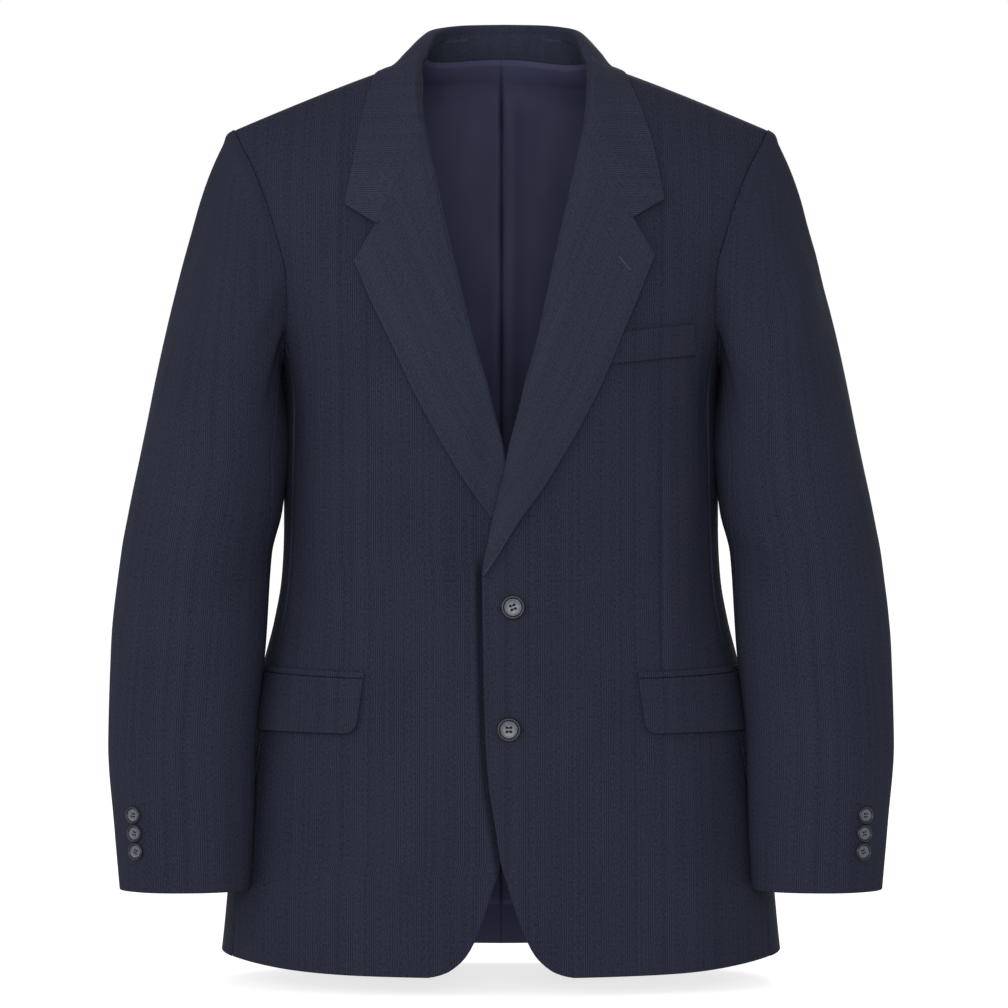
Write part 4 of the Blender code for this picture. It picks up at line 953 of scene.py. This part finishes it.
def leaf_half(hand, at):
    """Half of the leaf's outer face.  From the fold it falls to the edge along their chord, swelled by
    2.6 sqrt(t) (1 - t) of the bulge; inside the neck it goes down to its seam with the stand."""
    fold, edge, bulge = collar_lines(hand, at)
    chord = edge - fold
    across, back = np.moveaxis((edge + fold)[:, :2], -1, 0)
    radial = unit(np.stack([across, 1.6 * back, np.full(len(fold), 0.12)], -1))
    over = unit(radial - chord * ((radial * chord).sum(-1) / (chord ** 2).sum(-1))[:, None])
    t = np.array([0.05, 0.14, 0.3, 0.5, 0.75, 0.92, 1.0])[None, :, None]
    fall = (fold[:, None] + chord[:, None] * t
            + over[:, None] * bulge[:, None, None] * 2.6 * np.sqrt(t) * (1 - t))
    fall = over_shoulder(fall, LEAF + 0.0003 + 0.0036 * (1 - smooth(t[..., 0] / 0.6)))
    outward = outward_of(fold)
    down_back = np.stack([0 * at, 0 * at, 0 * at - 1], -1) + outward * 0.12
    on_edge = on_front(fold[:, 0] + 0.011, fold[:, 2] - 0.004, -CLOTH - 0.0012, hand)
    at_front = smooth((at - 4.3) / 0.9)[:, None]
    seam = (fold - outward * 0.0022 + down_back * INSIDE_SEAM) * (1 - at_front) + on_edge * at_front
    shoulder = fold - outward * 0.0022 + (seam - fold) * 0.22
    return np.concatenate([seam[:, None], (seam * 0.55 + shoulder * 0.45)[:, None], shoulder[:, None],
                           fold[:, None], fall], 1)


def whole(left, right):
    """Joins the two halves, given as measured on the left, into one grid that starts at the right."""
    return np.concatenate([right[:0:-1] * np.array([-1, 1, 1]), left])


def meet_lapel(leaf, at, lapel):
    """Bends the front end of a half leaf to the lapel's top row, which has the same inside, roll and
    fall: the last row moves onto that row, matched by the distance from the fold, 0.2 mm apart, and the
    rows behind it move by a share that fades towards the back."""
    top = lapel[-1] + unit(lapel[-1] - lapel[-3]) * 0.0002
    lengths, wanted = run(top[None], 1)[0], run(leaf[-1:], 1)[0]
    lengths, wanted = lengths - lengths[LAPEL_ROLL], wanted - wanted[FOLD]
    wanted = wanted * np.where(wanted > 0, lengths[-1] / wanted[-1], lengths[0] / wanted[0])
    target = np.stack([np.interp(wanted, lengths, top[:, k]) for k in range(3)], -1)
    return leaf + (target - leaf[-1]) * smooth((at - 6.2) / 2.8)[:, None, None]


# Where its rows of points lie along the table above, and its columns round the leaf: 0 at the seam with
# the stand, 3 at the fold and 10 at the free edge.
stations = np.concatenate([np.linspace(0, 7.8, 76),
                           [7.88, 7.94, 8, 8.03, 8.08, 8.2, 8.4, 8.6, 8.8, 8.92, 8.97, 9]])
round_it = np.concatenate([[0, 0.03, 0.1, 0.4, 0.8, 1.2], np.linspace(1.5, 4.5, 19),
                           np.linspace(4.7, 9.6, 26), [9.8, 9.9, 9.97, 10]])
FOLD = np.argmin(np.abs(round_it - 3))
face = whole(*(meet_lapel(spline(leaf_half(hand, stations), round_it), stations, lapels[word])
               for hand, word in HANDS))
thickness = np.broadcast_to(0.0011 + 0.0006 * smooth((round_it - 3.2) / 1.6), face.shape[:2])
# The cloth's lines run from fold to edge at the back, and level across both ends.
signed = np.concatenate([-stations[:0:-1], stations])
along_fold = run(face, 0)[:, FOLD] - run(face, 0)[len(stations) - 1, FOLD]
to_level = smooth((np.abs(signed) - 3.5) / 2.5)[:, None]
start = np.interp(4.5, signed, along_fold) + np.interp(4.5, signed, face[:, FOLD, 2])
across = along_fold[:, None] * (1 - to_level) + np.sign(signed)[:, None] * (start - face[..., 2]) * to_level
piece = wall("collar_fall", face, thickness, np.stack([across, run(face, 1)], -1), [painted_sheen_worsted], facing=-1,
             edges="front back")
cut(face)

NECK_SHARES = (0.0, 0.18, 0.36, 0.54, 0.7, 0.83, 0.93, 0.98, 1.0)
STAND_END = 0.004        # the height of the stand's end, on the front's edge


def stand_half(hand):
    """Half of the stand's face towards the neck, from the neckline up to under the fold."""
    half = NECK + hand * BUTTON_LEAN
    x = half * np.array(NECK_SHARES)
    side = RIDGE - NECK_DIP * np.clip(1 - (x / half) ** 2, 0, 1)
    end = np.array([STAND_END])
    foot = np.concatenate([bare_body(2 - girth_at(x, side), side),
                           on_front(front_edge(end, hand), end, 0.0, hand)])
    at = np.linspace(0, 4.5, 60)
    foot = spline(foot[None], at * 2)[0]
    fold, _, _ = collar_lines(hand, at)
    outward = outward_of(fold)
    foot = foot + np.array([0, 0, 0.0004])
    top = fold - outward * 0.0008 - np.array([0, 0, 0.0060])
    t = shares(16, 0.035)[None, :, None]
    return foot[:, None] * (1 - t) + top[:, None] * t - outward[:, None] * 0.008 * t * (1 - t)


face = whole(stand_half(1), stand_half(-1))
across = run(face, 0)[:, 10:11]
across = np.broadcast_to(across - across[len(across) // 2], face.shape[:2])
piece = wall("collar_stand", face, 0.0013, np.stack([across, run(face, 1)], -1), [painted_sheen_worsted], facing=-1)
cut(face)


# The leaf is felled to the stand by hand, in small uneven slanting stitches of lighter silk.
def tube(path, radius, sides=6):
    """Rings of points round a path, square to it: the path plus radius times cos and sin of an angle
    round two directions square to its slope."""
    slope = unit(np.gradient(path, axis=0))
    one = unit(np.cross(slope, np.array([0.31, 0.17, 0.93])))
    two = np.cross(slope, one)
    angle = np.linspace(0, 2 * math.pi, sides, endpoint=False)[None, :, None]
    square = np.cos(angle) * one[:, None] + np.sin(angle) * two[:, None]
    return path[:, None] + np.asarray(radius).reshape(-1, 1, 1) * square


def thread_piece(name, tubes, look):
    """One mesh of closed tubes with capped ends."""
    points, faces, first = [], [], 0
    for rings in tubes:
        rows, sides = rings.shape[:2]
        at = first + np.arange(rows * sides).reshape(rows, sides)
        nearby = np.roll(at, -1, 1)
        faces += np.stack([at[:-1], nearby[:-1], nearby[1:], at[1:]], -1).reshape(-1, 4).tolist()
        faces += [at[0, ::-1].tolist(), at[-1].tolist()]
        points.append(rings.reshape(-1, 3))
        first += rows * sides
    new_piece(name, np.concatenate(points), faces, [look])


def silk(name, dark, light):
    """Sewing silk: smooth, with a twist along it."""
    look, shade, shader = new_look(name, 0.6, gloss=0.1)
    where = shade.make("ShaderNodeTexCoord", {}, {}, output="Object")
    twist = shade.make("ShaderNodeTexWave", {"bands_direction": "DIAGONAL"},
                       {"Vector": where, "Scale": 700.0})
    shade.mixed(twist, dark, light).feed(shader, "Base Color")
    return look


pale_silk = silk("felling silk", (0.022, 0.027, 0.042, 1), (0.057, 0.068, 0.094, 1))
stitches = []
for hand, begin, end in ((1, 1.15, 2.10), (-1, 1.10, 2.15)):
    at = np.linspace(begin, end, 500)
    fold, _, _ = collar_lines(hand, at)
    along = run(fold[None], 1)[0]
    zigzag = np.abs(np.mod(along / 0.0046, 1) - 0.5) * 4 - 1
    uneven = 0.0004 * np.sin(along * 210 + hand) + 0.0003 * np.sin(along * 523)
    outward = outward_of(fold)
    below = INSIDE_SEAM + 0.0002 + 0.0010 * zigzag + uneven
    path = fold - outward * 0.0030 + (np.array([0, 0, -1.0]) + outward * 0.10) * below[:, None]
    stitches.append(tube(path * np.array([hand, 1, 1]), 0.0002))
thread_piece("felling_stitches", stitches, pale_silk)

# ---------------------------------------------------------------- buttonholes
# Worked in navy silk through the left front, each reaching out from under its button, and one in the
# left lapel.  A close purled edge runs round the slit, with an eye at the button's end.
navy_silk = silk("buttonhole silk", (0.0030, 0.0036, 0.0071, 1), (0.0091, 0.0106, 0.0194, 1))


def resting_on(face, x, z, out):
    """Points over a gently curved face at x and z: its own points averaged with bell-shaped weights."""
    normal = unit(np.cross(np.gradient(face, axis=1), np.gradient(face, axis=0))).reshape(-1, 3)
    flat = face.reshape(-1, 3)
    normal = normal * -np.sign(normal[:, 1:2])
    away = (flat[None, :, 0] - x[:, None]) ** 2 + (flat[None, :, 2] - z[:, None]) ** 2
    weight = np.exp(-away / (2 * 0.0022 ** 2))
    weight = weight / weight.sum(1, keepdims=True)
    level = np.stack([x, weight @ flat[:, 1], z], -1)
    return level + unit(weight @ normal) * np.asarray(out)[..., None]


def worked_hole(face, one, other, eye):
    """The purled edge of a buttonhole between two points, x and z: a long loop, wider at the eye."""
    one, other = np.array(one), np.array(other)
    length = np.linalg.norm(other - one)
    turn = np.linspace(0, 2 * math.pi, 240)
    along = (1 - np.cos(turn)) / 2
    width = 0.00045 + eye * np.exp(-((1 - along) * length / 0.0022) ** 2)
    aside = width * np.sign(np.sin(turn)) * np.minimum(1, np.abs(np.sin(turn)) * 6) ** 0.6
    line, square = (other - one) / length, np.array([-(other - one)[1], (other - one)[0]]) / length
    place = one + line * (along * length)[:, None] + square * aside[:, None]
    purl = 0.00034 + 0.00008 * np.sin(turn * 60)
    return tube(resting_on(face, place[:, 0], place[:, 1], 0.0002), purl)


near_middle = fronts["left"][:, :36]     # the columns nearest its edge, which hold both buttonholes
holes = [worked_hole(near_middle, (0.0155, -0.4637), (-0.0030, -0.4652), 0.0007),
         worked_hole(near_middle, (0.0000, -0.5663), (0.0192, -0.5672), 0.0004)]
thread_piece("front_buttonholes", holes, navy_silk)
lapel_silk = silk("lapel buttonhole silk", (0.015, 0.020, 0.030, 1), (0.040, 0.048, 0.070, 1))
hole = worked_hole(lapels["left"][:, 16:], (0.0996, -0.1688), (0.1089, -0.1805), 0.0002)
thread_piece("lapel_buttonhole", [hole], lapel_silk)

# ---------------------------------------------------------------- buttons
# Moulded four-hole buttons with a raised rim, marbled dark blue and grey and polished, the dish
# painted lighter than the dark rim, partly as a painted reflection: two on the front, and three
# touching at each cuff.  Navy thread crosses them in two bars.
def button_shape(diameter):
    """Points of a button seen as rings, the tint of each, from the dish at 0 to the rim at 1, and its
    share of a hole: a profile of radius and height turned about its middle, with four pits
    1 - (distance / hole radius)^6 deep where the holes are."""
    radius = diameter / 2
    level = (0.0, 0.05, 0.10, 0.14, 0.17, 0.20, 0.23, 0.26, 0.29, 0.32)
    profile = table(
        "share height", *((share, 0.12) for share in level), (0.36, 0.122), (0.42, 0.125), (0.50, 0.132),
        (0.58, 0.145), (0.64, 0.165), (0.68, 0.18), (0.70, 0.17), (0.72, 0.13), (0.74, 0.13), (0.76, 0.20),
        (0.79, 0.255), (0.84, 0.285), (0.89, 0.285), (0.94, 0.255), (0.98, 0.20), (1.0, 0.13),
        (0.985, 0.06), (0.93, 0.02), (0.80, 0.0), (0.4, 0.0))
    angle = np.linspace(0, 2 * math.pi, 72, endpoint=False)[None]
    x = profile["share"][:, None] * np.cos(angle)
    y = profile["share"][:, None] * np.sin(angle)
    height = np.repeat(profile["height"][:, None], 72, 1)
    hole = np.zeros(x.shape)
    for turn in np.radians([45, 135, 225, 315]):
        away = np.hypot(x - 0.235 * math.cos(turn), y - 0.235 * math.sin(turn)) / 0.098
        hole = np.maximum(hole, np.clip(1 - away ** 6, 0, 1) * (np.arange(len(x)) < 13)[:, None])
    tint = np.where(np.arange(len(x)) < 16, profile["share"] * 0.3, 0.6 + 0.4 * (profile["share"] - 0.7))
    shape = np.stack([x, y, height - 0.11 * hole], -1) * radius
    return shape, tint[:, None] + 0 * x, hole


def placed(points, centre, normal, turn=0.0):
    """Turns points about +Z by `turn`, tips +Z to the normal and moves them to the centre."""
    side = unit(np.cross(np.array([0.0, 0.0, 1.0]), normal))
    up = np.cross(normal, side)
    one, two = side * math.cos(turn) + up * math.sin(turn), up * math.cos(turn) - side * math.sin(turn)
    return centre + points[..., :1] * one + points[..., 1:2] * two + points[..., 2:] * normal


marble, shade, shader = new_look("marbled button", 0.3, coat=0.06, gloss=0.22)
where = shade.make("ShaderNodeTexCoord", {}, {}, output="Object")
swirl = shade.noise(210.0, where, Detail=4.0, Distortion=1.2)
tints = shade.make("ShaderNodeUVMap", {"uv_map": "tint"}, {})
tint, hole = (shade.make("ShaderNodeSeparateXYZ", {}, {"Vector": tints}, output=k) for k in "XY")
# The dish's marble is partly the button's own grey and partly a painted reflection of the white room; the rim
# is dark navy.
colour = shade.mixed(swirl, (0.026, 0.028, 0.037, 1), (0.074, 0.079, 0.099, 1))
colour = shade.mixed(shade.math("MULTIPLY", tint - 0.25, 4.0, clamp=True), colour, (0.006, 0.007, 0.011, 1))
# Painted shade: the holes' pits are painted near-black for the shade deep in the holes.
shade.mixed(hole, colour, (0.002, 0.002, 0.004, 1)).feed(shader, "Base Color")
(swirl * 0.14 + 0.26).feed(shader, "Roughness")


def button(name, diameter, centre, normal, turn, hand=1):
    """One button: its rings, closed by a pole in the middle of the front and a flat back."""
    shape, tint, hole = button_shape(diameter)
    shape = placed(shape, centre, normal, turn) * np.array([hand, 1, 1])
    rings = shape[1:]
    rows, sides = rings.shape[:2]
    at = 1 + np.arange(rows * sides).reshape(rows, sides)
    nearby = np.roll(at, -1, 1)
    faces = np.stack([at[:-1], at[1:], nearby[1:], nearby[:-1]], -1).reshape(-1, 4).tolist()
    faces += np.stack([0 * at[0], at[0], nearby[0]], -1).tolist() + [at[-1, ::-1].tolist()]
    if hand < 0:
        faces = [face[::-1] for face in faces]
    points = np.concatenate([shape[0, :1], rings.reshape(-1, 3)])
    piece = new_piece(name + "_moulded", points, faces, [marble])
    add_map(piece, "tint", np.stack([np.concatenate([v[0, :1], v[1:].ravel()]) for v in (tint, hole)], -1))
    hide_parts(name)


def bars(diameter, centre, normal, turn, hand=1):
    """Two bars of thread between the holes, each a low arch."""
    radius, made = diameter / 2, []
    for side in (-0.15, 0.15):
        for shift in (-0.025, 0.025):
            s = np.linspace(-1, 1, 14)
            arch = np.stack([0.17 * s, np.full(14, side + shift), 0.10 + 0.085 * (1 - s ** 4)], -1) * radius
            made.append(tube(placed(arch, centre, normal, turn) * np.array([hand, 1, 1]), 0.026 * radius))
    return made


FRONT_BUTTON, CUFF_BUTTON = 0.0204, 0.0148
FRONT_BUTTONS = ((0.0101, -0.4637, 0.35), (0.0067, -0.5663, 0.0))   # across, height and turn of each
CUFF_HEIGHTS = (-0.6394, -0.6547, -0.6700)
CUFF_TURNS = {"left": math.radians(-53), "right": math.radians(-50)}
threads = []
for k, (x, z, turn) in enumerate(FRONT_BUTTONS):
    place, above = (resting_on(near_middle, np.array([x]), np.array([z]), out)[0] for out in (0.0009, 0.01))
    normal = unit(above - place)
    button(f"front_button_{k + 1}", FRONT_BUTTON, place, normal, turn)
    threads += bars(FRONT_BUTTON, place, normal, turn)
for hand, word in HANDS:
    for k, height in enumerate(CUFF_HEIGHTS):
        point, beside, below = (sleeve_oval(np.array(CUFF_TURNS[word] + round_), np.array(height - down))
                                for round_, down in ((0, 0), (0.05, 0), (0, 0.005)))
        normal = unit(np.cross(beside - point, point - below))
        nearest = np.linalg.norm(sleeves[word] - point, axis=-1)
        lift = ((sleeves[word] - point) @ normal)[nearest < 0.007].max() + 0.0004
        button(f"cuff_button_{word}_{k + 1}", CUFF_BUTTON, point + normal * lift, normal, 0.2 * k, hand)
        threads += bars(CUFF_BUTTON, point + normal * lift, normal, 0.2 * k, hand)
thread_piece("button_thread", threads, navy_silk)

# ---------------------------------------------------------------- floor, light and camera
# A plain pale floor below the hem, a white room, and three large soft lights, from the wearer's right,
# from the front, and from above behind.
FLOOR = -0.790
floor_mesh = bpy.data.meshes.new("floor")
corners = [(x, y, FLOOR) for x, y in ((-30, -4), (30, -4), (30, 60), (-30, 60))]
floor_mesh.from_pydata(corners, [], [(0, 1, 2, 3)])
floor = bpy.data.objects.new("floor", floor_mesh)
bpy.context.scene.collection.objects.link(floor)
floor_look, _, floor_shader = new_look("pale floor", 0.9)
floor_shader.inputs["Base Color"].default_value = (0.30, 0.30, 0.30, 1)
floor_shader.inputs["Emission Color"].default_value = (1, 1, 1, 1)
floor_shader.inputs["Emission Strength"].default_value = 0.74
floor_mesh.materials.append(floor_look)

room = bpy.data.worlds.new("white room")
room.use_nodes = True
room.node_tree.nodes["Background"].inputs["Color"].default_value = (1, 1, 1, 1)
room.node_tree.nodes["Background"].inputs["Strength"].default_value = 1.0
bpy.context.scene.world = room
bpy.context.scene.view_settings.view_transform = "Standard"


def soft_light(name, place, size, power):
    """A square lamp of that size in metres, turned to face the middle of the jacket."""
    lamp = bpy.data.lights.new(name, "AREA")
    lamp.size, lamp.energy = size, power
    light = bpy.data.objects.new(name, lamp)
    light.location = place
    light.rotation_euler = (Vector((0, 0, -0.38)) - Vector(place)).to_track_quat("-Z", "Y").to_euler()
    bpy.context.scene.collection.objects.link(light)


soft_light("key", (-2.6, -1.9, 0.6), 2.0, 44)
soft_light("front", (0.0, -3.5, 0.1), 1.6, 88)
soft_light("back", (0.9, 2.7, 1.9), 1.6, 60)

camera = bpy.data.cameras.new("camera")
camera.sensor_width, camera.lens = 36, 122.9
view = bpy.data.objects.new("camera", camera)
view.location = (0.0026, -3.0, -0.377)
view.rotation_euler = (math.radians(90), 0, 0)
bpy.context.scene.collection.objects.link(view)
bpy.context.scene.camera = view
